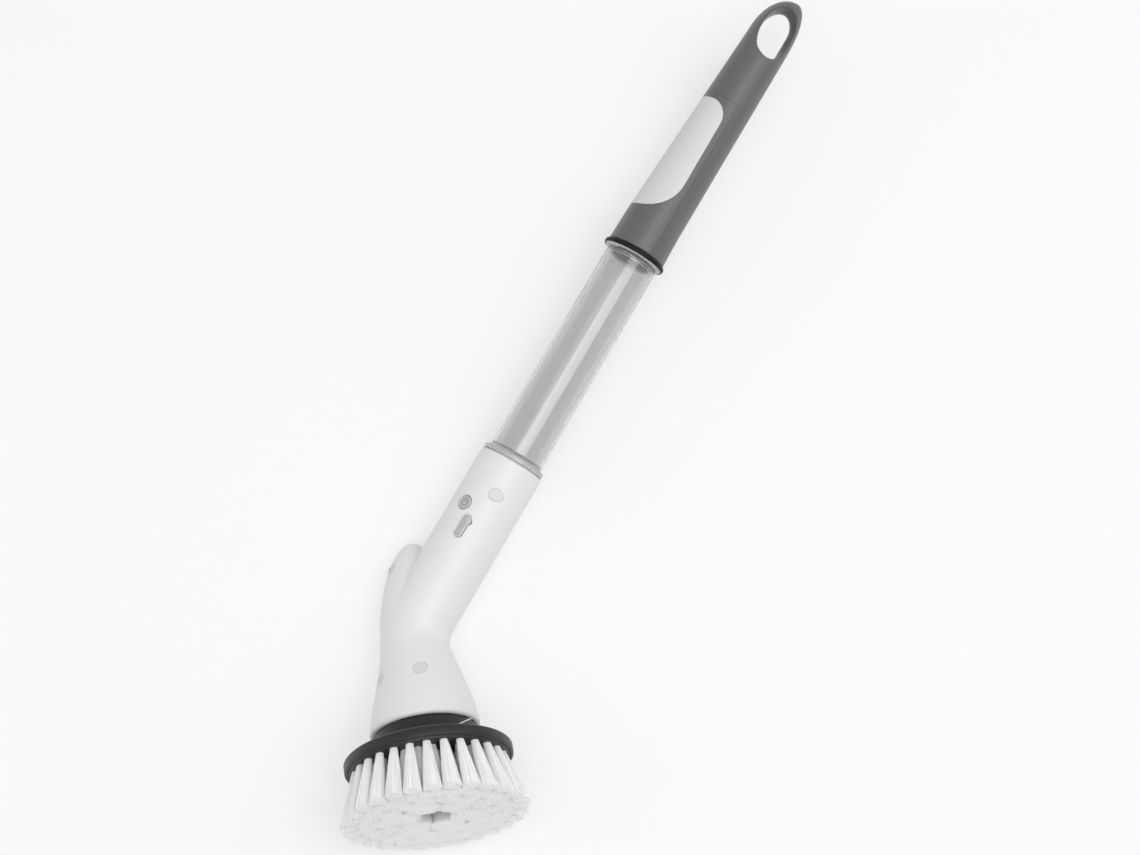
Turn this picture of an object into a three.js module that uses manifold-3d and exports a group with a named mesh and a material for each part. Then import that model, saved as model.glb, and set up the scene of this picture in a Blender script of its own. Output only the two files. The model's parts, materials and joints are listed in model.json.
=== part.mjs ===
// Electric spin scrubber, lying on its side on a table. Millimetres, Z up.
// The tool is drawn in its own frame: origin at the elbow, X along the handle to the grip end,
// Y to the outer side of the bend, Z to the button side. It is laid on the table at the end.
import * as THREE from 'three';
import { mergeVertices } from 'three/addons/utils/BufferGeometryUtils.js';
import { ConvexHull } from 'three/addons/math/ConvexHull.js';
import Module from 'manifold-3d';

const wasm = await Module();
wasm.setup();
const { Manifold, Mesh: SolidMesh } = wasm;
const DEG = Math.PI / 180;

// Reach of cutting tools, well past the piece they cut
const REACH = 60;

// Clearances
const FIT = 0.3;                  // gap between pieces that seat in one another
const RUN = 0.35;                 // radial gap around turning shafts

// Handle body and elbow
const BEND = 43 * DEG;            // angle from the handle axis to the brush axis
const BODY_R = 19.3;
const BODY_TOP = 114.6;           // elbow to the rim that carries the tube
const WALL = 2.2;
const AXIS_SHIFT = 2.3;           // the brush axis passes the elbow this far to the inner side
const SPINE_R = 30;               // bend radius of the centre line

// Neck: distance along the brush axis, shift to the inner side, radius
const NECK_K = [8.7, 17, 27, 36, 45, 53, 56.4, 57.6];
const NECK_SHIFT = [0.6, 0.7, 0.9, 0.9, 0.7, 0.4, 0.1, 0.1];
const NECK_R = [19.7, 21.4, 24, 26.6, 28.9, 30.4, 30.8, 29.8];
const RIM_K = NECK_K[NECK_K.length - 1];

// Motor bulge on the outer side of the elbow
const BULGE_R = 18;
const BULGE_MID = -5;
const BULGE_LENGTH = 50.5;
const BULGE_LEAN = 0.136;

// Clear tube
const TUBE_LENGTH = 138.2;
const TUBE_R_LOW = 16;
const TUBE_R_TOP = 15.65;
const TUBE_WALL = 1.6;
const FLANGE_LOW_R = 18.7;
const FLANGE_TOP_R = 18;
const FLANGE_T = 2.4;
const FLANGE_TOP_T = 1.2;
const FLANGE_FILLET = 3;

// Grip
const GRIP_LENGTH = 175.6;
const GRIP_R_LOW = 17.6;
const GRIP_R_END = 13.7;
const GRIP_DROP = 4.1;            // how far the grip's centre line falls away from the thumb side
const GRIP_ROUND = 29;            // length of the rounded end
const GRIP_NOSE = 0.3;            // how much the end leans away from the thumb side
const GRIP_WALL = 2.4;
const GRIP_TURN = 54 * DEG;       // thumb side, turned from the button side to the outer side
const COVER_EDGE = -7.5;          // parting line of the grip cover, seen from the side
const COVER_LENGTH = 102;
const PAD_EDGE = -3.7;
const PAD_LENGTH = 75.5;
const PAD_MARGIN = 3;             // cover left beyond the pad's upper end
const PAD_START = COVER_LENGTH - PAD_MARGIN - PAD_LENGTH;
const PAD_SWEEP_LONG = 22;        // swept lower corner of the pad, along and across the grip
const PAD_SWEEP_WIDE = 20.7;
const PAD_CORNER = 12;
const PAD_T = 1.6;
const HANG_FROM_END = 24.4;
const HANG_LONG = 15.2;             // half sizes of the hang hole at its waist
const HANG_WIDE = 8.2;
const HANG_CORNER = 1.5;          // length of its rounded ends against half its width
const HANG_WAIST = 1.5;           // half thickness of the waist
const HANG_REACH = 18;            // where the flare is measured, from the middle plane
const FLARE_TIP = 5.3;            // growth of the hole at that reach: to the grip end, to the pad end,
const FLARE_BACK = 0.8;           // to the underside and to the thumb side
const FLARE_UNDER = 8.4;
const FLARE_THUMB = 0.8;

// Plug and collar inside the ends of the tube
const PLUG_IN_BODY = 7;
const PLUG_IN_TUBE = 2;
const COLLAR_IN_TUBE = 2.6;
const COLLAR_IN_GRIP = 14;
const COLLAR_T = 1.4;
const COLLAR_SLACK = 0.5;         // extra room round the collar inside the grip

// Gasket between tube and grip
const GASKET_R = 19;
const GASKET_WEB = 1.2;
const GASKET_LIP = 2.5;

// Controls on the body
const BOARD_T = 1.6;
const BOARD_BACK = 24;            // board edges, from the button
const BOARD_AHEAD = 18;
const BOARD_LEFT = 6.6;
const BOARD_RIGHT = 9;
const BUTTON_X = 80.8;
const BUTTON_TURN = 4 * DEG;
const BUTTON_R = 4;
const BUTTON_TRAVEL = 0.8;
const PORT_X = 68.6;
const PORT_TURN = -15.5 * DEG;
const PORT_LONG = 14;
const PORT_WIDE = 4.7;
const COVER_PROUD = 0.8;
const COVER_RAISED = 0.3;         // raised face on the port cover
const BUTTON_DISH = 0.35;

// Screws through the front shell: along X and Y, plug radius
const PLUG_R = 3.5;
const SCREW_HEAD_R = 2.7;
const SCREW_HEAD_T = 1.8;
const SCREW_R = 1.25;
const BOSS_R = 3.4;               // round the screw thread in the rear shell
const CUP_R = PLUG_R + 1.7;       // round the plug in the front shell

// Motor and planetary gearbox, stations along the brush axis
const MOTOR_R = 9.5;
const MOTOR_START = -22;
const MOTOR_END = 8;
const MODULE = 0.5;
const SUN_TEETH = 12;
const PLANET_TEETH = 12;
const RING_TEETH = SUN_TEETH + 2 * PLANET_TEETH;
const GEAR_K = 12.5;
const GEAR_WIDTH = 5;
const CASE_R = 11.2;
const SHAFT_R = 3;
const SHAFT_END = 66;
const MOTOR_SHAFT_R = 1;
const PIN_R = 0.9;

// Brush
const HUB_TOP = RIM_K + 0.8;
const HUB_R = 29;
const PLATE_R = 46.6;
const PLATE_TOP = 70.8;
const PLATE_FACE = 78;
const PLATE_FLOOR = 3.3;
const TIP_K = 107.5;
const TUFT_ROOT = 1.9;
const TUFT_SIDES = 5;
// Circles of the tuft rows at the plate and at the tips, and the radius of a tuft at its tip
const OUTER_ROOT = 41;
const OUTER_TIP = 47.5;
const OUTER_FAN = 5.1;
const SECOND_ROOT = 33.6;
const SECOND_TIP = 38.2;
const SECOND_FAN = 4.2;
const THIRD_ROOT = 24.5;
const THIRD_TIP = 28.4;
const THIRD_FAN = 5;
const MIDDLE_ROOT = 15.6;
const MIDDLE_TIP = 17.6;
const MIDDLE_FAN = 5;
// Rows of tufts: how many, their circles, the first angle as a share of the pitch, the fan
const ROWS = [
  { count: 28, root: OUTER_ROOT, tip: OUTER_TIP, phase: 0, fan: OUTER_FAN },
  { count: 28, root: SECOND_ROOT, tip: SECOND_TIP, phase: 0.35, fan: SECOND_FAN },
  { count: 14, root: THIRD_ROOT, tip: THIRD_TIP, phase: 0.1, fan: THIRD_FAN },
  { count: 6, root: MIDDLE_ROOT, tip: MIDDLE_TIP, phase: 0.6, fan: MIDDLE_FAN },
];
// Screw that holds the brush on the shaft
const BRUSH_SCREW_R = 1.4;
const BRUSH_SCREW_BITE = 7;
const BRUSH_SCREW_HEAD_R = 4.2;
const BRUSH_SCREW_HEAD_T = 2.2;

// Colours read from the photo
const WHITE = 0xe6e6e6;
const GRIP_GREY = 0x6b6b6d;
const RUBBER = 0x1c1c1d;
const PLATE_BLACK = 0x333335;
const CLEAR = 0xc4c7c9;
const BUTTON_GREY = 0xbdbdbd;
const COVER_GREY = 0xa8a8a8;
const STEEL = 0x9a9da1;
const BRASS = 0xb59a58;
const NYLON = 0xd8d4c8;

// Geometry helpers
function clean(geometry) {
  const bare = new THREE.BufferGeometry();
  bare.setAttribute('position', geometry.getAttribute('position'));
  if (geometry.index) bare.setIndex(geometry.index);
  const welded = mergeVertices(bare, 1e-4);
  const p = welded.getAttribute('position').array;
  const from = welded.index.array;
  let keep = [];
  let volume = 0;
  for (let i = 0; i < from.length; i += 3) {
    const [a, b, c] = [from[i], from[i + 1], from[i + 2]];
    if (a === b || b === c || c === a) continue;
    keep.push(a, b, c);
    const A = new THREE.Vector3().fromArray(p, a * 3);
    const B = new THREE.Vector3().fromArray(p, b * 3);
    const C = new THREE.Vector3().fromArray(p, c * 3);
    volume += A.dot(B.cross(C));
  }
  if (volume < 0) {
    for (let i = 0; i < keep.length; i += 3) [keep[i], keep[i + 1]] = [keep[i + 1], keep[i]];
  }
  return new Manifold(new SolidMesh({
    numProp: 3, vertProperties: new Float32Array(p), triVerts: new Uint32Array(keep),
  }));
}

const add = (...s) => s.reduce((a, b) => a.add(b));
const cut = (a, ...s) => s.reduce((m, b) => m.subtract(b), a);
const common = (a, b) => a.intersect(b);
const move = (s, x, y, z) => s.translate([x, y, z]);

function shape(pairs) {
  return new THREE.Shape(pairs.map(([x, y]) => new THREE.Vector2(x, y)));
}

// Closed ring or solid of revolution about Z from radius and height pairs
function turned(pairs, sides) {
  const points = [...pairs, pairs[0]].map(([r, z]) => new THREE.Vector2(r, z));
  return clean(new THREE.LatheGeometry(points, sides).rotateX(Math.PI / 2));
}

const turnedX = (pairs, sides) => turned(pairs, sides).rotate([0, 90, 0]);
const turnedK = (pairs, sides) => turned(pairs.map(([r, k]) => [r, -k]), sides);

function rod(r, z0, z1, sides = 20) {
  return turned([[0, z0], [r, z0], [r, z1], [0, z1]], sides);
}

function block(x0, x1, y0, y1, z0, z1) {
  const g = new THREE.BoxGeometry(x1 - x0, y1 - y0, z1 - z0);
  g.translate((x0 + x1) / 2, (y0 + y1) / 2, (z0 + z1) / 2);
  return clean(g);
}

function prism(outline, z0, z1, curveSegments = 4) {
  const g = new THREE.ExtrudeGeometry(outline, { depth: z1 - z0, bevelEnabled: false, curveSegments });
  return clean(g.translate(0, 0, z0));
}

// Skin over rings of equal point count; each ring has a centre, two unit directions and radii,
// and the half length of its straight sides where it is a slot
function loft(rings, sides) {
  const position = [];
  const index = [];
  for (const { c, u, v, ru, rv, straight = 0 } of rings) {
    for (let i = 0; i < sides; i++) {
      const a = (i / sides) * 2 * Math.PI;
      const along = ru * Math.cos(a) + straight * Math.sign(Math.round(1e6 * Math.cos(a)));
      const p = c.clone().addScaledVector(u, along).addScaledVector(v, rv * Math.sin(a));
      position.push(p.x, p.y, p.z);
    }
  }
  for (let s = 0; s + 1 < rings.length; s++) {
    for (let i = 0; i < sides; i++) {
      const j = (i + 1) % sides;
      const [a, b] = [s * sides + i, s * sides + j];
      const [d, e] = [a + sides, b + sides];
      index.push(a, b, e, a, e, d);
    }
  }
  const last = (rings.length - 1) * sides;
  for (let i = 1; i + 1 < sides; i++) index.push(0, i + 1, i, last, last + i, last + i + 1);
  const g = new THREE.BufferGeometry();
  g.setAttribute('position', new THREE.Float32BufferAttribute(position, 3));
  g.setIndex(index);
  return clean(g);
}

function between(table, values, at) {
  if (at <= table[0]) return values[0];
  for (let i = 1; i < table.length; i++) {
    if (at <= table[i]) {
      const t = (at - table[i - 1]) / (table[i] - table[i - 1]);
      return values[i - 1] + t * (values[i] - values[i - 1]);
    }
  }
  return values[values.length - 1];
}

// Directions of the bend
const X = new THREE.Vector3(1, 0, 0);
const Y = new THREE.Vector3(0, 1, 0);
const Z = new THREE.Vector3(0, 0, 1);
const DOWN = new THREE.Vector3(-Math.cos(BEND), -Math.sin(BEND), 0);
const INNER = new THREE.Vector3(Math.sin(BEND), -Math.cos(BEND), 0);
const onHead = (k, q) => DOWN.clone().multiplyScalar(k).addScaledVector(INNER, q + AXIS_SHIFT);

// Outline of the housing: handle, elbow and neck as one skin, shrunk by an inset for the inside
function bodySkin(inset, sides) {
  const rings = [];
  const flat = inset > 0 ? 1 / Math.cos(Math.PI / sides) : 1;
  const ring = (c, out, r) => rings.push({ c, u: Z, v: out, ru: r * flat, rv: r * flat });
  const at = (x, r) => ring(new THREE.Vector3(x, 0, 0), Y, r);
  if (inset === 0) {
    at(BODY_TOP, BODY_R - 1.6);
    at(BODY_TOP - 0.6, BODY_R - 0.55);
    at(BODY_TOP - 1.8, BODY_R);
  } else {
    at(BODY_TOP + 5, BODY_R - inset);
  }
  const reach = SPINE_R * Math.tan(BEND / 2);
  const start = (AXIS_SHIFT + NECK_SHIFT[0]) / Math.sin(BEND) + reach;
  const pivot = new THREE.Vector3(start, -SPINE_R, 0);
  const steps = inset === 0 ? 3 : 2;
  for (let i = 0; i <= steps; i++) {
    const a = (i / steps) * BEND;
    const out = new THREE.Vector3(-Math.sin(a), Math.cos(a), 0);
    const r = BODY_R + (NECK_R[0] - BODY_R) * (i / steps) - inset;
    ring(pivot.clone().addScaledVector(out, SPINE_R), out, r);
  }
  NECK_K.forEach((k, i) => {
    if (i === 0 || (inset > 0 && (i > 5 || i % 2 === 0))) return;
    const out = INNER.clone().negate();
    const r = NECK_R[i] - inset;
    ring(onHead(k, NECK_SHIFT[i]), out, r);
  });
  if (inset > 0) {
    const out = INNER.clone().negate();
    const r = NECK_R[5] - inset;
    ring(onHead(RIM_K + 5, 0), out, r);
  }
  return loft(rings, sides);
}

const bulgeShift = (k) => BULGE_LEAN * Math.max(0, BULGE_MID - k);
function bulgeRadius(k) {
  const t = Math.min(1, Math.max(0, (BULGE_MID - k) / BULGE_LENGTH));
  return BULGE_R * Math.sqrt(1 - t * t);
}

function bulgeSkin(inset, sides) {
  const rings = [];
  const out = INNER.clone().negate();
  const far = BULGE_LENGTH - inset;
  const turns = inset === 0 ? [0, 16, 31, 45, 58, 70, 80, 87] : [0, 28, 52, 74];
  rings.push({ c: onHead(10, 0.2), u: Z, v: out, ru: BULGE_R - inset, rv: BULGE_R - inset });
  for (const a of turns) {
    const k = BULGE_MID - far * Math.sin(a * DEG);
    const r = (BULGE_R - inset) * Math.cos(a * DEG);
    rings.push({ c: onHead(k, bulgeShift(k)), u: Z, v: out, ru: r, rv: r });
  }
  return loft(rings, sides);
}

// Height of the outer skin above the parting plane, for the screw pockets
function skinHeight(place) {
  if (place.x !== undefined) return Math.sqrt(BODY_R ** 2 - place.y ** 2);
  const inBulge = place.k < BULGE_MID;
  const r = inBulge ? bulgeRadius(place.k) : between(NECK_K, NECK_R, place.k);
  const shift = inBulge ? bulgeShift(place.k) : between(NECK_K, NECK_SHIFT, place.k);
  return Math.sqrt(Math.max(1, r * r - (place.q - shift) ** 2));
}

const SCREWS = [
  { x: BODY_TOP - 22, y: -0.6 * BODY_R },
  { k: 29, q: 12.3 },
  { k: BULGE_MID - 0.68 * BULGE_LENGTH, q: -3.1 },
  { k: 27.2, q: -14.3 },
].map((place) => {
  const p = place.x !== undefined ? new THREE.Vector3(place.x, place.y, 0) : onHead(place.k, place.q);
  const top = skinHeight(place);
  const lean = Math.min(1.1, Math.abs((place.x !== undefined ? place.y : place.q) / top));
  const seat = top - lean * PLUG_R - 3.4;
  return { x: p.x, y: p.y, seat, depth: Math.min(9, top - 4.6) };
});

const outer = add(bodySkin(0, 24), bulgeSkin(0, 20));
const bosses = SCREWS.flatMap((s) => [
  move(rod(BOSS_R, -REACH, 0, 8), s.x, s.y, 0), move(rod(CUP_R, 0, REACH, 10), s.x, s.y, 0),
]);

// Webs that carry the motor and the gear case inside the shells
function web(k0, k1, hole) {
  const slab = block(-REACH, REACH, -REACH, REACH, -k1, -k0);
  const ring = cut(slab, rod(hole, -k1 - 1, -k0 + 1, 14));
  return ring.transform(headMatrix.elements).translate(onHead(0, 0).toArray());
}
const headMatrix = new THREE.Matrix4().makeBasis(INNER, Z.clone().negate(), DOWN.clone().negate());
const webs = add(web(-12, -10, MOTOR_R + FIT), web(14, 16, CASE_R + FIT));
const hollow = cut(add(bodySkin(WALL, 14), bulgeSkin(WALL, 12)), ...bosses, webs);
const shell = cut(outer, hollow);

// Radial holes for the button and the charging port
const radial = (s, turn) => s.rotate([-turn / DEG, 0, 0]);
const buttonHole = radial(move(rod(BUTTON_R + FIT, 5, 40, 18), BUTTON_X, 0, 0), BUTTON_TURN);

function oblong(long, wide) {
  const r = wide / 2;
  const h = long / 2 - r;
  const s = new THREE.Shape();
  s.moveTo(-h, -r);
  s.lineTo(h, -r);
  s.absarc(h, 0, r, -Math.PI / 2, Math.PI / 2, false);
  s.lineTo(-h, r);
  s.absarc(-h, 0, r, Math.PI / 2, Math.PI * 1.5, false);
  return s;
}
const TAB_X = PORT_LONG * 0.25;
const TAB_R = 1.7;
const lidPlan = (grow, z0, z1) => add(
  prism(oblong(PORT_LONG + 2 * grow, PORT_WIDE + 2 * grow), z0, z1),
  move(rod(TAB_R + grow, z0, z1, 12), TAB_X, -PORT_WIDE / 2 + 0.5, 0),
);
const portHole = radial(move(lidPlan(FIT, 5, 40), PORT_X, 0, 0), PORT_TURN);

const far = 400;
const pockets = SCREWS.map((s) => move(rod(PLUG_R + FIT, s.seat, REACH, 14), s.x, s.y, 0));
const throughs = SCREWS.map((s) => move(rod(SCREW_R + FIT, -s.depth, REACH, 8), s.x, s.y, 0));
const frontHalf = block(-far, far, -far, far, FIT / 2, far);
const rearHalf = block(-far, far, -far, far, -far, -FIT / 2);
const housingFront = cut(common(shell, frontHalf), buttonHole, portHole, ...pockets, ...throughs);
const housingRear = cut(common(shell, rearHalf), ...throughs);

// Screws and the plugs flush over them
const screws = SCREWS.map((s) => add(
  rod(SCREW_HEAD_R, s.seat + FIT, s.seat + FIT + SCREW_HEAD_T, 12),
  rod(SCREW_R, -s.depth + FIT, s.seat + FIT + 0.2, 8),
));
const plugs = SCREWS.map((s) => {
  const pin = move(rod(PLUG_R, s.seat + SCREW_HEAD_T + 2 * FIT, REACH, 14), s.x, s.y, 0);
  return common(pin, outer);
});

// Tube, gasket, plugs
const TUBE_LOW = BODY_TOP + FIT;
const TUBE_END = TUBE_LOW + TUBE_LENGTH;
const fillet = (r, x0, dir) => [0, 40, 90].map((a) => [
  r + FLANGE_FILLET * (1 - Math.sin(a * DEG)), x0 + dir * FLANGE_FILLET * (1 - Math.cos(a * DEG)),
]);
const clearTube = turnedX([
  [TUBE_R_LOW - TUBE_WALL, TUBE_LOW],
  [FLANGE_LOW_R - 0.5, TUBE_LOW], [FLANGE_LOW_R, TUBE_LOW + 0.5],
  [FLANGE_LOW_R, TUBE_LOW + FLANGE_T - 0.5], [FLANGE_LOW_R - 0.4, TUBE_LOW + FLANGE_T],
  ...fillet(TUBE_R_LOW, TUBE_LOW + FLANGE_T, 1).filter(([r]) => r < FLANGE_LOW_R - 0.5),
  ...fillet(TUBE_R_TOP, TUBE_END - FLANGE_TOP_T, -1).filter(([r]) => r < FLANGE_TOP_R - 0.3).reverse(),
  [FLANGE_TOP_R - 0.3, TUBE_END - FLANGE_TOP_T], [FLANGE_TOP_R, TUBE_END - FLANGE_TOP_T + 0.4],
  [FLANGE_TOP_R, TUBE_END], [TUBE_R_TOP - TUBE_WALL, TUBE_END],
], 24);

const GASKET_TOP = TUBE_END + FIT + GASKET_WEB;
const gasket = turnedX([
  [TUBE_R_TOP - TUBE_WALL, GASKET_TOP - GASKET_WEB],
  [FLANGE_TOP_R + FIT, GASKET_TOP - GASKET_WEB],
  [FLANGE_TOP_R + FIT, GASKET_TOP - GASKET_LIP],
  [GASKET_R - 0.35, GASKET_TOP - GASKET_LIP - 0.2],
  [GASKET_R, GASKET_TOP - GASKET_LIP + 0.5],
  [GASKET_R, GASKET_TOP - 0.8], [GASKET_R - 0.6, GASKET_TOP],
  [TUBE_R_TOP - TUBE_WALL, GASKET_TOP],
], 24);

const GRIP_LOW = GASKET_TOP + FIT;
const GRIP_END = GRIP_LOW + GRIP_LENGTH;
const lowerPlug = turnedX([
  [0, TUBE_LOW - PLUG_IN_BODY], [BODY_R - WALL - FIT, TUBE_LOW - PLUG_IN_BODY],
  [BODY_R - WALL - FIT, TUBE_LOW - FIT],
  [TUBE_R_LOW - TUBE_WALL - FIT, TUBE_LOW - FIT], [TUBE_R_LOW - TUBE_WALL - FIT, TUBE_LOW + PLUG_IN_TUBE],
  [0, TUBE_LOW + PLUG_IN_TUBE],
], 20);
const SPIGOT_R = TUBE_R_TOP - TUBE_WALL - FIT;
const COLLAR_R = GRIP_R_LOW - GRIP_WALL - FIT - COLLAR_SLACK;
const gripSpigot = turnedX([
  [SPIGOT_R - COLLAR_T, TUBE_END - COLLAR_IN_TUBE], [SPIGOT_R, TUBE_END - COLLAR_IN_TUBE],
  [SPIGOT_R, GRIP_LOW + FIT], [COLLAR_R, GRIP_LOW + FIT], [COLLAR_R, GRIP_LOW + COLLAR_IN_GRIP],
  [SPIGOT_R - COLLAR_T, GRIP_LOW + COLLAR_IN_GRIP],
], 20);

// Grip, drawn with the thumb side up
const gripStraight = GRIP_LENGTH - GRIP_ROUND;
function gripRing(d, inset, flat) {
  const t = Math.min(1, d / gripStraight);
  const full = GRIP_R_LOW + (GRIP_R_END - GRIP_R_LOW) * t;
  const past = Math.max(0, (d - gripStraight) / GRIP_ROUND);
  const r = full * Math.sqrt(Math.max(0.004, 1 - past ** 2.3));
  const drop = GRIP_DROP * Math.min(1, Math.max(0, (d - 20) / (gripStraight - 20))) + GRIP_NOSE * (full - r);
  const c = new THREE.Vector3(GRIP_LOW + d, 0, -drop);
  return { c, u: Z, v: Y, ru: (r - inset) * flat, rv: (r - inset) * flat };
}
function gripSkin(inset, from, to, sides) {
  const flat = inset > 0 ? 1 / Math.cos(Math.PI / sides) : 1;
  const stops = [from, 20, 60, 100, gripStraight].filter((d) => d >= from && d <= to);
  if (to < gripStraight) stops.push(to);
  const round = to > gripStraight ? [22, 42, 58, 72, 82, 90] : [];
  return loft([...stops, ...round.map((a) => gripStraight + GRIP_ROUND * Math.sin(a * DEG))]
    .map((d) => gripRing(d, inset, flat)), sides);
}

const HANG_X = GRIP_END - HANG_FROM_END;
function hangRing(y, k) {
  const long = HANG_LONG + (k * (FLARE_TIP + FLARE_BACK)) / 2;
  const wide = HANG_WIDE + (k * (FLARE_UNDER + FLARE_THUMB)) / 2;
  const x = HANG_X + (k * (FLARE_TIP - FLARE_BACK)) / 2;
  const z = -GRIP_DROP - (k * (FLARE_UNDER - FLARE_THUMB)) / 2;
  const round = Math.min(long, HANG_CORNER * wide);
  return { c: new THREE.Vector3(x, y, z), u: X, v: Z, ru: round, rv: wide, straight: long - round };
}
const hangHole = loft([
  hangRing(-HANG_REACH, 1), hangRing(-HANG_WAIST, 0), hangRing(HANG_WAIST, 0), hangRing(HANG_REACH, 1),
], 20);

function padPlan(grow) {
  const [x0, x1] = [GRIP_LOW + PAD_START - grow, GRIP_LOW + PAD_START + PAD_LENGTH + grow];
  const [z0, c] = [PAD_EDGE - grow, PAD_CORNER + grow];
  const s = new THREE.Shape();
  s.moveTo(x0, 40);
  const [sx, sz] = [PAD_SWEEP_LONG + grow, PAD_SWEEP_WIDE + grow];
  s.lineTo(x0, z0 + sz);
  s.absellipse(x0 + sx, z0 + sz, sx, sz, Math.PI, Math.PI * 1.5, false);
  s.absarc(x1 - c, z0 + c, c, Math.PI * 1.5, Math.PI * 2, false);
  s.lineTo(x1, 40);
  return prism(s, -40, 40, 7).rotate([90, 0, 0]);
}

const gripOuter = gripSkin(0, 0, GRIP_LENGTH, 22);
const HOLLOW_END = GRIP_LENGTH - HANG_FROM_END - HANG_LONG - FLARE_BACK - 9;
const gripHollow = gripSkin(GRIP_WALL, -1, HOLLOW_END, 12);
const gripShell = cut(gripOuter, gripHollow, hangHole);
const coverZone = block(GRIP_LOW - 5, GRIP_LOW + COVER_LENGTH, -REACH, REACH, COVER_EDGE, REACH);
const coverRoom = block(GRIP_LOW - 5, GRIP_LOW + COVER_LENGTH + FIT, -REACH, REACH, COVER_EDGE - FIT, REACH);
const padZone = gripSkin(PAD_T, -2, GRIP_LENGTH - GRIP_ROUND, 22);
const padRoom = gripSkin(PAD_T + FIT, -2, GRIP_LENGTH - GRIP_ROUND, 22);
const gripBody = cut(gripShell, coverRoom);
const gripCover = cut(common(gripShell, coverZone), cut(padPlan(FIT), padRoom));
const thumbPad = common(cut(gripOuter, padZone), padPlan(0));

// Button, switch, board and charging port
const SKIN_IN = BODY_R - WALL;
const BUTTON_LOW = SKIN_IN - 2.2;
const BUTTON_TOP = BODY_R + 0.4;
const button = cut(add(
  rod(BUTTON_R, SKIN_IN - 1.8, BUTTON_TOP, 18),
  rod(BUTTON_R + 0.9, BUTTON_LOW, SKIN_IN - 1.5, 18),
), rod(BUTTON_R - 0.9, BUTTON_TOP - BUTTON_DISH, BUTTON_TOP + 1, 18));
const BOARD_TOP = SKIN_IN - 6.1;
const buttonGuide = turned([
  [BUTTON_R + 1.25, BOARD_TOP + FIT], [BUTTON_R + 2.6, BOARD_TOP + FIT],
  [BUTTON_R + 2.6, BUTTON_LOW - BUTTON_TRAVEL + FIT], [BUTTON_R + 1.25, BUTTON_LOW - BUTTON_TRAVEL + FIT],
], 16);
const tactSwitch = add(
  block(-3, 3, -3, 3, BOARD_TOP + FIT, BOARD_TOP + 2.6),
  rod(1.5, BOARD_TOP + 2.4, BUTTON_LOW - BUTTON_TRAVEL - FIT, 12),
);
const board = block(
  BUTTON_X - BOARD_BACK, BUTTON_X + BOARD_AHEAD, -BOARD_LEFT, BOARD_RIGHT, BOARD_TOP - BOARD_T, BOARD_TOP,
);
const socketSlot = prism(oblong(8, 2.2), SKIN_IN - 3, SKIN_IN + 1);
const socket = cut(prism(oblong(9, 3.2), SKIN_IN - 4.3, SKIN_IN), socketSlot);
const LID_LOW = BODY_R + 0.15;
const LID_TOP = BODY_R + COVER_PROUD;
const portCover = add(
  lidPlan(0, LID_LOW, LID_TOP),
  move(prism(oblong(PORT_LONG - 5, PORT_WIDE), SKIN_IN + 0.6, LID_LOW + 0.2), 2.5, 0, 0),
  move(prism(oblong(PORT_LONG - 0.9, PORT_WIDE - 1.5), BODY_R, LID_TOP + COVER_RAISED), -0.1, 0.4, 0),
);

// Battery, its straps and the leads
const CELL_R = 9.2;
const CELL_Y = 3.8;
const CELL_Z = -5;
const CELL_START = 30;
const CELL_LENGTH = 65;
const CRADLE_AT = 26;             // from the start of the cell
const cell = turnedX([
  [0, 0], [CELL_R - 0.6, 0], [CELL_R, 0.6], [CELL_R, CELL_LENGTH - 0.6], [CELL_R - 0.6, CELL_LENGTH],
  [3, CELL_LENGTH], [3, CELL_LENGTH + 1], [0, CELL_LENGTH + 1],
], 18);
function cradle() {
  const ring = cut(rod(SKIN_IN - 3 * FIT, 0, 8, 20).rotate([0, 90, 0]),
    move(rod(CELL_R + FIT, -1, 9, 20).rotate([0, 90, 0]), 0, CELL_Y, CELL_Z));
  return common(ring, block(-1, 9, -7.5, 30, -40, 4));
}
const strap = (x0, x1) => move(block(x0, x1, -4, 4, -4, 4), CELL_START, CELL_Y, CELL_Z);
const strapLow = strap(-1.1, -FIT);
const strapTop = strap(CELL_LENGTH + 1 + FIT, CELL_LENGTH + 2.1);

function lead(points, r) {
  const path = new THREE.CatmullRomCurve3(points.map((p) => new THREE.Vector3(...p)));
  const round = new THREE.Shape().absarc(0, 0, r, 0, 2 * Math.PI, false);
  return clean(new THREE.ExtrudeGeometry(round, {
    extrudePath: path, steps: 10, curveSegments: 2, bevelEnabled: false,
  }));
}
const BULGE_TOP = onHead(MOTOR_START - FIT - 0.9, 0);
const leadTo = (q, z) => BULGE_TOP.clone().addScaledVector(INNER, q).setZ(z).toArray();
const LEAD_X = BUTTON_X - BOARD_BACK - 2 * FIT;
const leadA = lead([[LEAD_X, 4, 10], [47, 8, 9.4], [36, 13, 7], [29, 17, 5], leadTo(-1.2, 4)], 0.7);
const leadB = lead([[LEAD_X, 1.6, 10.2], [44, 4, 9.8], [34, 9, 8.4], [27, 13.4, 6.5], leadTo(3.6, 4.6)], 0.7);

// Motor and gears about the brush axis
const motor = turnedK([
  [0, MOTOR_START], [MOTOR_R - 1, MOTOR_START], [MOTOR_R, MOTOR_START + 1], [MOTOR_R, MOTOR_END - 0.6],
  [MOTOR_R - 0.6, MOTOR_END], [3, MOTOR_END], [3, MOTOR_END + 1.4],
  [MOTOR_SHAFT_R + RUN, MOTOR_END + 1.4], [MOTOR_SHAFT_R + RUN, MOTOR_END - 6], [0, MOTOR_END - 6],
], 16);

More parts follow.
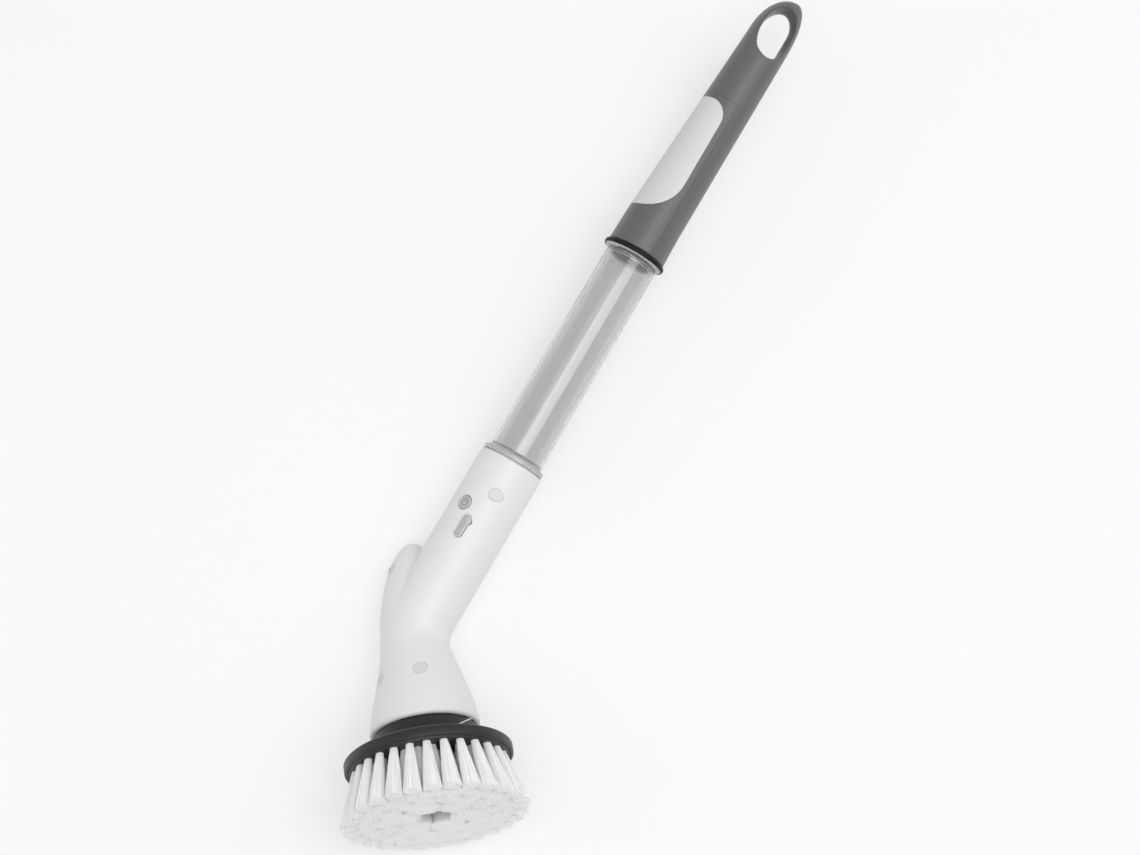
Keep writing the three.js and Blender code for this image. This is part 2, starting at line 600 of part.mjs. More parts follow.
function gearPoints(teeth, inward, offset) {
  const pitch = (MODULE * teeth) / 2;
  const [tip, root] = inward
    ? [pitch - 0.8 * MODULE, pitch + 1.15 * MODULE]
    : [pitch + 0.8 * MODULE, pitch - 1.15 * MODULE];
  const half = (Math.PI / teeth) * 0.5;
  const tooth = [[root, -half * 1.25], [tip, -half * 0.45], [tip, half * 0.45], [root, half * 1.25]];
  const points = [];
  for (let i = 0; i < teeth; i++) {
    const mid = (i / teeth) * 2 * Math.PI + offset;
    for (const [r, a] of tooth) points.push([r * Math.cos(mid + a), r * Math.sin(mid + a)]);
  }
  return points;
}
const GEAR_END = GEAR_K + GEAR_WIDTH;
const sun = add(
  prism(shape(gearPoints(SUN_TEETH, false, 0)), -GEAR_END, -GEAR_K),
  rod(MOTOR_SHAFT_R, -GEAR_END - 0.4, -(MOTOR_END - 5.6), 8),
);
const planetOrbit = (MODULE * (SUN_TEETH + PLANET_TEETH)) / 2;
const planetGear = (turn) => {
  const s = shape(gearPoints(PLANET_TEETH, false, turn + Math.PI / PLANET_TEETH));
  return cut(prism(s, -GEAR_END, -GEAR_K), rod(PIN_R + RUN, -GEAR_END - 1, -GEAR_K + 1, 8));
};
const CASE_END = GEAR_END + 3.4;
const gearCase = cut(
  rod(CASE_R, -CASE_END, -(GEAR_K - 2.1), 24),
  prism(shape(gearPoints(RING_TEETH, true, 0)), -CASE_END - 1, -(GEAR_K - 0.5)),
  rod(3.3, -GEAR_K - 1, 0, 12),
);
const gearCover = turnedK([
  [SHAFT_R + RUN, CASE_END + FIT], [CASE_R - 1, CASE_END + FIT],
  [CASE_R - 1, CASE_END + 2.1], [SHAFT_R + RUN, CASE_END + 2.1],
], 16);
const carrier = cut(add(
  turnedK([[0, GEAR_END + 0.6], [7.7, GEAR_END + 0.6], [7.7, CASE_END - 0.4], [SHAFT_R, CASE_END - 0.4],
    [SHAFT_R, SHAFT_END], [0, SHAFT_END]], 18),
  ...[0, 1, 2].map((i) => {
    const a = (i / 3) * 2 * Math.PI;
    const pin = rod(PIN_R, -GEAR_END - 1, -GEAR_K - 0.3, 8);
    return move(pin, planetOrbit * Math.cos(a), planetOrbit * Math.sin(a), 0);
  }),
), rod(BRUSH_SCREW_R + FIT, -SHAFT_END - 1, -SHAFT_END + BRUSH_SCREW_BITE + 2, 8));

// Base plate with bearing and seal under the neck
const BASE_K = RIM_K - 4.4;
const BASE_R = between(NECK_K, NECK_R, BASE_K - 3) - WALL - between(NECK_K, NECK_SHIFT, BASE_K - 3) - FIT;
const basePlate = turnedK([
  [5, BASE_K], [BASE_R, BASE_K], [BASE_R, BASE_K - 3], [10.3, BASE_K - 3], [10.3, BASE_K - 6],
  [8.4, BASE_K - 6], [8.4, BASE_K - 1.4], [5, BASE_K - 1.4],
], 18);
const bearing = turnedK([
  [SHAFT_R + RUN, BASE_K - 5.6], [8.1, BASE_K - 5.6], [8.1, BASE_K - 1.7], [SHAFT_R + RUN, BASE_K - 1.7],
], 18);
const seal = turnedK([
  [SHAFT_R + RUN, BASE_K - 1.1], [4.7, BASE_K - 1.1], [4.7, BASE_K + FIT], [7.5, BASE_K + FIT],
  [7.5, BASE_K + 1.6], [SHAFT_R + RUN, BASE_K + 1.6],
], 16);

// Brush: hub, plate, tufts on a hidden carrier disc, and the screw that holds them on the shaft
const FLOOR_TOP = PLATE_FACE - PLATE_FLOOR;
const DISC_R = PLATE_R - 2.6;
const DISC_TOP = FLOOR_TOP - 1.4;
const SCREW_HOLE = 1.8;
const hub = turnedK([
  [SHAFT_R + FIT, HUB_TOP + 1.7], [7, HUB_TOP + 1.7], [7, PLATE_TOP - 1.6], [HUB_R - 2.2, PLATE_TOP - 1.6],
  [HUB_R - 2.2, HUB_TOP], [HUB_R - 0.5, HUB_TOP], [HUB_R, HUB_TOP + 0.6], [HUB_R + 0.6, PLATE_TOP + 0.2],
  [DISC_R, PLATE_TOP + 0.5], [DISC_R, DISC_TOP - FIT], [SCREW_HOLE, DISC_TOP - FIT],
  [SCREW_HOLE, SHAFT_END + FIT], [SHAFT_R + FIT, SHAFT_END + FIT],
], 24);
const plateBlank = turnedK([
  [SCREW_HOLE, FLOOR_TOP], [DISC_R + FIT, FLOOR_TOP], [DISC_R + FIT, PLATE_TOP + 0.4],
  [DISC_R + 0.8, PLATE_TOP], [PLATE_R - 0.9, PLATE_TOP], [PLATE_R, PLATE_TOP + 1], [PLATE_R, PLATE_FACE - 2],
  [PLATE_R - 0.9, PLATE_FACE - 0.9], [PLATE_R - 1.5, PLATE_FACE - 0.9], [PLATE_R - 2.1, PLATE_FACE - 1.5],
  [PLATE_R - 2.7, PLATE_FACE], [SCREW_HOLE, PLATE_FACE],
], 30);
const discBlank = turnedK([
  [SCREW_HOLE, DISC_TOP], [DISC_R, DISC_TOP], [DISC_R, FLOOR_TOP - FIT], [SCREW_HOLE, FLOOR_TOP - FIT],
], 24);

function tufts() {
  const spots = [];
  for (const { count, root, tip, phase, fan } of ROWS) {
    for (let i = 0; i < count; i++) {
      const a = ((i + phase) / count) * 2 * Math.PI;
      const u = new THREE.Vector3(Math.cos(a), Math.sin(a), 0);
      const v = new THREE.Vector3(-Math.sin(a), Math.cos(a), 0);
      const ring = (k, grow) => {
        const t = (k - PLATE_FACE) / (TIP_K - PLATE_FACE);
        const r = TUFT_ROOT + (fan - TUFT_ROOT) * t + grow;
        return { c: u.clone().multiplyScalar(root + (tip - root) * t).setZ(-k), u, v, ru: r, rv: r };
      };
      spots.push({
        tuft: loft([ring(DISC_TOP + 0.5, 0), ring(TIP_K, 0)], TUFT_SIDES),
        hole: loft([ring(FLOOR_TOP - 2, FIT + 0.05), ring(PLATE_FACE + 2, FIT + 0.05)], TUFT_SIDES),
      });
    }
  }
  return spots;
}
const spots = tufts();
const bristles = Manifold.union([discBlank, ...spots.map((s) => s.tuft)]);
const brushPlate = cut(plateBlank, Manifold.union(spots.map((s) => s.hole)));
const brushScrew = add(
  turnedK([[0, PLATE_FACE + FIT], [BRUSH_SCREW_HEAD_R, PLATE_FACE + FIT],
    [BRUSH_SCREW_HEAD_R, PLATE_FACE + BRUSH_SCREW_HEAD_T - 0.8],
    [BRUSH_SCREW_HEAD_R - 1, PLATE_FACE + BRUSH_SCREW_HEAD_T], [0, PLATE_FACE + BRUSH_SCREW_HEAD_T]], 14),
  rod(BRUSH_SCREW_R, -PLATE_FACE - 0.6, -SHAFT_END + BRUSH_SCREW_BITE, 8),
);

// Named meshes in nested groups
const finish = (color, roughness, metalness = 0, opacity = 1) => new THREE.MeshStandardMaterial({
  color, roughness, metalness, opacity, transparent: opacity < 1,
});
function piece(name, body, material) {
  const { vertProperties, triVerts } = body.getMesh();
  const g = new THREE.BufferGeometry();
  g.setAttribute('position', new THREE.BufferAttribute(new Float32Array(vertProperties), 3));
  g.setIndex(new THREE.BufferAttribute(new Uint32Array(triVerts), 1));
  g.computeVertexNormals();
  const mesh = new THREE.Mesh(g, material);
  mesh.name = name;
  return mesh;
}
function group(name, ...children) {
  const g = new THREE.Group();
  g.name = name;
  g.add(...children);
  return g;
}
function at(object, x, y, z) {
  object.position.set(x, y, z);
  return object;
}

const head = group('head',
  piece('motor', motor, finish(STEEL, 0.4, 0.8)),
  piece('motor_rotor', sun, finish(BRASS, 0.4, 0.7)),
  piece('gear_case', gearCase, finish(NYLON, 0.6)),
  piece('gear_cover', gearCover, finish(NYLON, 0.6)),
  piece('planet_carrier', carrier, finish(STEEL, 0.35, 0.9)),
  ...[0, 1, 2].map((i) => {
    const a = (i / 3) * 2 * Math.PI;
    const gear = piece(`planet_gear_${i + 1}`, planetGear(a), finish(NYLON, 0.55));
    return at(gear, planetOrbit * Math.cos(a), planetOrbit * Math.sin(a), 0);
  }),
  piece('base_plate', basePlate, finish(WHITE, 0.5)),
  piece('output_bearing', bearing, finish(STEEL, 0.3, 0.9)),
  piece('shaft_seal', seal, finish(RUBBER, 0.8)),
  piece('brush_hub', hub, finish(PLATE_BLACK, 0.5)),
  piece('brush_plate', brushPlate, finish(PLATE_BLACK, 0.45)),
  piece('bristles', bristles, finish(0xeaeaea, 0.7)),
  piece('brush_screw', brushScrew, finish(STEEL, 0.35, 0.9)),
);
head.quaternion.setFromRotationMatrix(headMatrix);
head.position.copy(onHead(0, 0));

const controls = group('controls',
  at(piece('power_button', button, finish(BUTTON_GREY, 0.5)), BUTTON_X, 0, 0),
  at(piece('button_guide', buttonGuide, finish(WHITE, 0.6)), BUTTON_X, 0, 0),
  at(piece('tact_switch', tactSwitch, finish(RUBBER, 0.5)), BUTTON_X, 0, 0),
  piece('control_board', board, finish(0x2f5d3a, 0.6)),
);
controls.rotation.x = -BUTTON_TURN;
const port = group('port',
  at(piece('charge_socket', socket, finish(STEEL, 0.35, 0.9)), PORT_X, 0, 0),
  at(piece('port_cover', portCover, finish(COVER_GREY, 0.75)), PORT_X, 0, 0),
);
port.rotation.x = -PORT_TURN;

const grip = group('grip',
  piece('grip_body', gripBody, finish(GRIP_GREY, 0.5)),
  piece('grip_cover', gripCover, finish(GRIP_GREY, 0.5)),
  piece('thumb_pad', thumbPad, finish(0xdadada, 0.6)),
);
grip.rotation.x = -GRIP_TURN;

const tool = group('tool',
  piece('housing_front', housingFront, finish(WHITE, 0.45)),
  piece('housing_rear', housingRear, finish(WHITE, 0.45)),
  ...SCREWS.flatMap((s, i) => [
    at(piece(`housing_screw_${i + 1}`, screws[i], finish(STEEL, 0.35, 0.9)), s.x, s.y, 0),
    piece(`screw_plug_${i + 1}`, plugs[i], finish(0xdedede, 0.55)),
  ]),
  piece('clear_tube', clearTube, finish(CLEAR, 0.12, 0, 0.45)),
  piece('tube_gasket', gasket, finish(RUBBER, 0.6)),
  piece('lower_plug', lowerPlug, finish(WHITE, 0.5)),
  piece('grip_spigot', gripSpigot, finish(CLEAR, 0.2)),
  at(piece('battery_cell', cell, finish(0x4a6fa0, 0.4)), CELL_START, CELL_Y, CELL_Z),
  at(piece('battery_cradle', cradle(), finish(NYLON, 0.6)), CELL_START + CRADLE_AT, 0, 0),
  piece('battery_strap_low', strapLow, finish(STEEL, 0.35, 0.9)),
  piece('battery_strap_top', strapTop, finish(STEEL, 0.35, 0.9)),
  piece('motor_lead_1', leadA, finish(0xb03030, 0.6)),
  piece('motor_lead_2', leadB, finish(RUBBER, 0.6)),
  controls, port, grip, head,
);

// Lay the tool on the flat side of its hull that faces the table, with X along the handle
const scrubber = group('spin_scrubber', tool);
scrubber.updateMatrixWorld(true);
const corners = [];
tool.traverse((o) => {
  if (!o.isMesh) return;
  const p = o.geometry.getAttribute('position');
  for (let i = 0; i < p.count; i++) {
    corners.push(new THREE.Vector3().fromBufferAttribute(p, i).applyMatrix4(o.matrixWorld));
  }
});
const lying = new THREE.Vector3(0, 0.515, -0.857);
const faces = new ConvexHull().setFromPoints(corners).faces;
const under = faces.reduce((best, f) => (f.normal.dot(lying) > best.normal.dot(lying) ? f : best));
const up = under.normal.clone().negate();
const along = X.clone().addScaledVector(up, -X.dot(up)).normalize();
const settle = new THREE.Matrix4().makeBasis(along, up.clone().cross(along), up).transpose();
tool.quaternion.setFromRotationMatrix(settle);
scrubber.updateMatrixWorld(true);
const box = new THREE.Box3().setFromObject(tool, true);
tool.position.set(-(box.min.x + box.max.x) / 2, -(box.min.y + box.max.y) / 2, -box.min.z);

export default scrubber;
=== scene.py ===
"""Electric spin scrubber lying on a pale table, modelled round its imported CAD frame."""
import json
import math
import random
from collections import namedtuple

import bpy
from bpy.props import FloatProperty, FloatVectorProperty, IntProperty, PointerProperty
from mathutils import Matrix, Vector


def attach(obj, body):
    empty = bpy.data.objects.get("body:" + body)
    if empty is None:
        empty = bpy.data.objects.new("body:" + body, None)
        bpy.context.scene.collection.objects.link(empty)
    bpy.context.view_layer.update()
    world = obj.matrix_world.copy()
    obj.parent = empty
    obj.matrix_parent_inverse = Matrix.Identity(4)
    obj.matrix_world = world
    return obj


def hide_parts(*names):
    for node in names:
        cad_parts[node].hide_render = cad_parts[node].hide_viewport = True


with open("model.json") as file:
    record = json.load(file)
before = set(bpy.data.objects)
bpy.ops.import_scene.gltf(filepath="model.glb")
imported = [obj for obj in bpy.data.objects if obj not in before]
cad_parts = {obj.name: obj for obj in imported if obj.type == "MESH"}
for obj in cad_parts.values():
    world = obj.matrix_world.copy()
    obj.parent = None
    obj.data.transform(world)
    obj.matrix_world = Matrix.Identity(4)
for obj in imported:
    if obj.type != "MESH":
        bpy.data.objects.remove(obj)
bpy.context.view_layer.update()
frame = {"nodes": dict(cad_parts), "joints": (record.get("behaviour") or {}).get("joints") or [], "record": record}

bl_info = {
    "name": "Spin Scrubber",
    "version": (1, 0, 0),
    "blender": (4, 5, 0),
    "location": "View3D > Sidebar > Scrubber",
    "description": "Builds an electric spin scrubber piece by piece on its CAD frame",
    "category": "Add Mesh",
}

# Places and sizes that pieces share, in millimetres
BEND = math.radians(43)
AXIS_SHIFT = 2.3
SPINE_R = 30.0
# Rings of the neck and of its rounded rim: station on the brush axis, shift to the inner side, radius
NECK = [(8.7, 0.6, 19.7), (17, 0.7, 21.4), (27, 0.9, 24), (36, 0.9, 26.6), (45, 0.7, 28.9), (53, 0.4, 30.4)]
RIM = [(56.4, 0.1, 30.8), (57.6, 0.1, 29.8)]
RIM_K = RIM[-1][0]
HUB_TOP = RIM_K + 0.8
JOINT_K = 60.0
BULGE_MID, BULGE_LEAN = -5.0, 0.136
BUTTON_X, BUTTON_TURN = 80.8, math.radians(4)
PORT_X, PORT_TURN = 68.6, math.radians(-15.5)
FLANGE_LOW, FLANGE_LOW_T = 18.7, 2.4
FLANGE_TOP, FLANGE_TOP_T = 18.0, 1.2
GASKET_WEB = 1.2
SPIGOT_R = 14.4
GRIP_TURN, GRIP_DROP = math.radians(54), 4.1
PLATE_TOP, PLATE_FACE, TIP_K = 70.8, 78.0, 107.5
# Clearance of pieces that fit together, and how far a cutting form runs past what it opens
FIT = 0.3
PAST = 5.0
# Rows of tufts: how many, circle at the root and at the tip, first angle, radius of a tuft at its tip
Row = namedtuple("Row", "name count root tip phase fan")
ROWS = [Row("outer", 28, 41.0, 47.5, 0.0, 5.3), Row("second", 28, 33.6, 38.2, 0.35, 6.0),
        Row("third", 14, 24.5, 28.4, 0.1, 7.4), Row("inner", 6, 15.6, 17.6, 0.6, 10.0)]
GOLDEN_TURN = math.pi * (3 - math.sqrt(5))

DOWN = Vector((-math.cos(BEND), -math.sin(BEND), 0))
INNER = Vector((math.sin(BEND), -math.cos(BEND), 0))
AXIS_Z = Vector((0, 0, 1))


def length(name, text, default):
    """A size in metres"""
    return FloatProperty(name=name, description=text, default=default, min=0.0, unit="LENGTH", precision=5)


def count(name, text, default):
    """A number of like things"""
    return IntProperty(name=name, description=text, default=default, min=8, max=150)


def colour(name, text, default):
    """A surface colour, linear"""
    return FloatVectorProperty(name=name, description=text, default=default, size=3, min=0.0, max=1.0,
                               subtype="COLOR")


class ScrubberSizes(bpy.types.PropertyGroup):
    """Sizes of the scrubber that a user would change"""
    body_radius: length("Body radius", "Radius of the straight white body", 0.0193)
    body_top: length("Body top", "From the elbow to the rim that carries the tube", 0.1146)
    wall: length("Shell wall", "Wall of the two white shells", 0.0022)
    bulge_radius: length("Bulge radius", "Radius of the motor bulge", 0.018)
    bulge_length: length("Bulge length", "Length of the rounded motor bulge", 0.0505)
    plug_radius: length("Plug radius", "Radius of the caps over the screws", 0.0035)
    button_radius: length("Button radius", "Radius of the power button", 0.004)
    port_long: length("Port cover length", "Length of the rubber port cover", 0.014)
    port_wide: length("Port cover width", "Width of the rubber port cover", 0.0047)
    tube_length: length("Tube length", "Length of the clear tube", 0.1382)
    tube_low: length("Tube radius, low", "Outer radius of the tube at the body", 0.016)
    tube_top: length("Tube radius, top", "Outer radius of the tube at the grip", 0.01565)
    tube_wall: length("Tube wall", "Wall of the clear tube", 0.0016)
    gasket_radius: length("Gasket radius", "Outer radius of the black ring", 0.019)
    grip_length: length("Grip length", "Length of the grey grip", 0.1756)
    grip_low: length("Grip radius, low", "Radius of the grip at the tube", 0.0176)
    grip_end: length("Grip radius, end", "Radius of the grip before its rounded end", 0.0137)
    hang_long: length("Hang hole length", "Half length of the hang hole", 0.0152)
    hang_wide: length("Hang hole width", "Half width of the hang hole", 0.0082)
    pad_depth: length("Pad depth", "Thickness of the white thumb pad", 0.0016)
    hub_radius: length("Hub radius", "Radius of the collar above the brush plate", 0.029)
    plate_radius: length("Plate radius", "Radius of the black brush plate", 0.0466)
    tuft_root: length("Tuft root", "Radius of a tuft at the plate", 0.0019)
    filament: length("Filament", "Radius of one nylon filament", 0.00017)
    strand: length("Strand", "Radius at the tip of a strand of filaments inside a tuft", 0.0004)
    filaments: count("Filaments", "Filaments round an outer tuft", 90)
    strands: count("Strands", "Strands inside an outer tuft", 110)


class ScrubberColours(bpy.types.PropertyGroup):
    """Colours of the scrubber, linear"""
    body: colour("Body", "Satin white of the shells", (0.81, 0.81, 0.81))
    plug: colour("Screw caps", "White of the caps over the screws", (0.71, 0.71, 0.71))
    tube: colour("Tube", "Grey tint of the clear tube", (0.825, 0.83, 0.835))
    ring: colour("Gasket", "Black rubber ring", (0.007, 0.007, 0.007))
    grip: colour("Grip", "Grey of the grip", (0.135, 0.135, 0.138))
    pad: colour("Pad", "White of the thumb pad", (0.70, 0.70, 0.70))
    button: colour("Button", "Grey of the power button", (0.60, 0.60, 0.60))
    flap: colour("Port cover", "Grey rubber of the port cover", (0.46, 0.46, 0.46))
    plate: colour("Brush plate", "Black of the plate and hub", (0.020, 0.020, 0.021))
    bristle: colour("Bristles", "White nylon", (0.95, 0.95, 0.94))
    floor: colour("Table", "Pale table top", (0.93, 0.93, 0.93))


def mm(name):
    """A size of the scrubber in millimetres"""
    return getattr(bpy.context.scene.scrubber_sizes, name) * 1000.0


def tint(name):
    """A colour of the scrubber with its alpha"""
    return (*getattr(bpy.context.scene.scrubber_colours, name), 1.0)


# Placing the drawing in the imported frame

def joint(name):
    """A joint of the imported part"""
    return next(j for j in frame["joints"] if j["name"] == name)


def basis(x, y, z):
    """The turn whose axes are these three"""
    return Matrix((x, y, z)).transposed()


def on_head(k, q=0.0):
    """Point at station k of the brush axis, shifted by q to the inner side of the bend"""
    return DOWN * k + INNER * (q + AXIS_SHIFT)


def tool_matrix():
    """The drawing is in millimetres, origin at the elbow, X along the handle, Z to the button"""
    spin, press = joint("brush_spin"), joint("button_press")
    down, out = Vector(spin["axis"]).normalized(), -Vector(press["axis"]).normalized()
    drawn_out = Vector((0, math.sin(BUTTON_TURN), math.cos(BUTTON_TURN)))

    def frame_of(a, b):
        c = a.cross(b).normalized()
        return basis(a, c, a.cross(c))

    turn = frame_of(down, out) @ frame_of(DOWN, drawn_out).transposed()
    place = Vector(spin["pos_m"]) - turn @ (on_head(JOINT_K) * 0.001)
    return Matrix.Translation(place) @ turn.to_4x4() @ Matrix.Scale(0.001, 4)


TOOL = tool_matrix()
ALONG_X = basis(Vector((0, 1, 0)), AXIS_Z, Vector((1, 0, 0))).to_4x4()
HEAD = Matrix.Translation(on_head(0)) @ basis(INNER, AXIS_Z, DOWN).to_4x4()
BUTTON = Matrix.Rotation(-BUTTON_TURN, 4, "X") @ Matrix.Translation((BUTTON_X, 0, 0))
PORT = Matrix.Rotation(-PORT_TURN, 4, "X") @ Matrix.Translation((PORT_X, 0, 0))
GRIP = Matrix.Rotation(-GRIP_TURN, 4, "X")


# Modelling steps

def pick(*objects):
    """Back to object mode with only these selected, the first one active"""
    if bpy.context.mode != "OBJECT":
        bpy.ops.object.mode_set(mode="OBJECT")
    bpy.ops.object.select_all(action="DESELECT")
    for o in objects:
        o.select_set(True)
    if objects:
        bpy.context.view_layer.objects.active = objects[0]


def edit(obj):
    """Into edit mode with every edge selected"""
    pick(obj)
    bpy.ops.object.mode_set(mode="EDIT")
    bpy.ops.mesh.select_mode(type="EDGE")
    bpy.ops.mesh.select_all(action="SELECT")


def select_edges(obj, wanted):
    """Into edit mode with only the edges selected whose two ends pass a test"""
    edit(obj)
    bpy.ops.mesh.select_all(action="DESELECT")
    bpy.ops.object.mode_set(mode="OBJECT")
    for e in obj.data.edges:
        e.select = wanted(*(obj.data.vertices[i].co for i in e.vertices))
    bpy.ops.object.mode_set(mode="EDIT")


def close_mesh(looped=False):
    """Caps the open ends, or bridges the first ring to the last one"""
    bpy.ops.mesh.select_all(action="DESELECT")
    bpy.ops.mesh.select_non_manifold()
    if looped:
        bpy.ops.mesh.bridge_edge_loops()
    else:
        bpy.ops.mesh.fill_holes(sides=0)
    bpy.ops.mesh.select_all(action="SELECT")
    bpy.ops.mesh.normals_make_consistent(inside=False)
    bpy.ops.object.mode_set(mode="OBJECT")


def lofted(name, rings, sides, looped=False):
    """An oval about Z carried through rings of centre and two radii by extruding, moving and scaling"""
    pick()
    (c, a, b), rest = rings[0], rings[1:]
    bpy.ops.mesh.primitive_circle_add(vertices=sides, radius=1, fill_type="NOTHING", location=c)
    obj = bpy.context.object
    obj.name = name
    obj.scale = (a, b, 1)
    bpy.ops.object.transform_apply(location=True, rotation=True, scale=True)
    edit(obj)
    for cn, an, bn in rest:
        bpy.ops.mesh.extrude_edges_move(TRANSFORM_OT_translate={"value": Vector(cn) - Vector(c)})
        bpy.ops.transform.resize(value=(an / a, bn / b, 1), center_override=cn)
        c, a, b = cn, an, bn
    close_mesh(looped)
    return obj


def turned(name, profile, sides, looped=False):
    """A round form about Z from radius and height pairs"""
    return lofted(name, [((0, 0, z), r, r) for r, z in profile], sides, looped)


def swept(name, rings, sides):
    """A ring about X carried along a bending line; each ring has a centre, a turn about Z and a radius"""
    pick()
    (c, a, r), rest = rings[0], rings[1:]
    bpy.ops.mesh.primitive_circle_add(vertices=sides, radius=r, fill_type="NOTHING", location=c,
                                      rotation=(0, math.pi / 2, a))
    obj = bpy.context.object
    obj.name = name
    bpy.ops.object.transform_apply(location=True, rotation=True, scale=True)
    edit(obj)
    for cn, an, rn in rest:
        bpy.ops.mesh.extrude_edges_move(TRANSFORM_OT_translate={"value": cn - c})
        if abs(an - a) > 1e-6:
            bpy.ops.transform.rotate(value=a - an, orient_axis="Z", orient_type="GLOBAL", center_override=cn)
        bpy.ops.transform.resize(value=(rn / r,) * 3, center_override=cn)
        c, a, r = cn, an, rn
    close_mesh()
    return obj


def slot_ring(name, long, wide, ends, z, sides):
    """An open ring along X: the halves of a circle drawn out to its two rounded ends and moved apart"""
    pick()
    bpy.ops.mesh.primitive_circle_add(vertices=sides, radius=1, fill_type="NOTHING", location=(0, 0, z),
                                      rotation=(0, 0, math.pi / sides))
    obj = bpy.context.object
    obj.name = name
    bpy.ops.object.transform_apply(location=False, rotation=True, scale=False)
    obj.scale = (1, wide / 2, 1)
    bpy.ops.object.transform_apply(location=True, rotation=True, scale=True)
    for side, end in zip((1, -1), ends):
        edit(obj)
        bpy.ops.mesh.select_mode(type="VERT")
        bpy.ops.mesh.select_all(action="DESELECT")
        bpy.ops.object.mode_set(mode="OBJECT")
        for v in obj.data.vertices:
            v.select = v.co.x * side > 0
        bpy.ops.object.mode_set(mode="EDIT")
        bpy.ops.transform.resize(value=(end, 1, 1), center_override=(0, 0, z))
        bpy.ops.transform.translate(value=((long / 2 - end) * side, 0, 0))
    return obj


def oblong(name, long, wide, z0, z1, sides=32):
    """A round-ended bar along X"""
    obj = slot_ring(name, long, wide, (wide / 2, wide / 2), z0, sides)
    edit(obj)
    bpy.ops.mesh.extrude_edges_move(TRANSFORM_OT_translate={"value": (0, 0, z1 - z0)})
    close_mesh()
    return obj


def slab(name, low, high):
    """A cutting block between two corners"""
    pick()
    bpy.ops.mesh.primitive_cube_add(size=1, location=[(a + b) / 2 for a, b in zip(low, high)])
    obj = bpy.context.object
    obj.name = name
    bpy.ops.transform.resize(value=[b - a for a, b in zip(low, high)])
    bpy.ops.object.transform_apply(location=True, rotation=True, scale=True)
    return obj


def modify(obj, kind, **settings):
    """Adds a modifier with its settings and applies it"""
    pick(obj)
    bpy.ops.object.modifier_add(type=kind)
    mod = obj.modifiers[-1]
    for key, value in settings.items():
        setattr(mod, key, value)
    bpy.ops.object.modifier_apply(modifier=mod.name)
    return obj


def combine(obj, other, operation="DIFFERENCE", keep=False):
    """Cuts, joins or crosses a form with another, which is then removed unless it is kept"""
    modify(obj, "BOOLEAN", object=other, operation=operation, solver="EXACT")
    if not keep:
        bpy.data.objects.remove(other)
    return obj


def copy_of(obj, name):
    """A copy with its own mesh"""
    twin = obj.copy()
    twin.data = obj.data.copy()
    twin.name = name
    bpy.context.scene.collection.objects.link(twin)
    return twin


def joined(name, objects):
    """Several meshes as one object"""
    pick(*objects)
    bpy.ops.object.join()
    obj = bpy.context.object
    obj.name = name
    return obj


def set_in(obj, matrix):
    """Moves a piece's mesh, and leaves the object at the origin"""
    obj.matrix_world = matrix @ obj.matrix_world
    pick(obj)
    bpy.ops.object.transform_apply(location=True, rotation=True, scale=True)
    return obj


def soften(obj, voxel, rounds):
    """Fuses a form into one even skin and rounds its creases"""
    modify(obj, "REMESH", mode="VOXEL", voxel_size=voxel)
    return modify(obj, "SMOOTH", factor=0.5, iterations=rounds)


def bevel(obj, width, segments=3, angle=32):
    """Rounds the edges that are sharper than an angle in degrees"""
    return modify(obj, "BEVEL", width=width, segments=segments, limit_method="ANGLE",
                  angle_limit=math.radians(angle), use_clamp_overlap=True)


def keep_side(obj, point, normal):
    """Cuts the mesh at a plane, drops what lies beyond it and closes the cut"""
    edit(obj)
    bpy.ops.mesh.bisect(plane_co=point, plane_no=normal, use_fill=True, clear_outer=True)
    bpy.ops.object.mode_set(mode="OBJECT")
    return obj


def dress(obj, body, slot, finish, *nodes, place=Matrix.Identity(4), angle=35):
    """Sets a drawn piece in the frame with its finish and body and hides the CAD nodes it stands for; the slot is
    not used
    """
    set_in(obj, TOOL @ place)
    bpy.ops.object.shade_smooth_by_angle(angle=math.radians(angle))
    obj.data.materials.clear()
    for material in finish if isinstance(finish, list) else [finish]:
        obj.data.materials.append(material)
    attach(obj, body)
    if nodes:
        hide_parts(*nodes)
    return obj


# Finishes

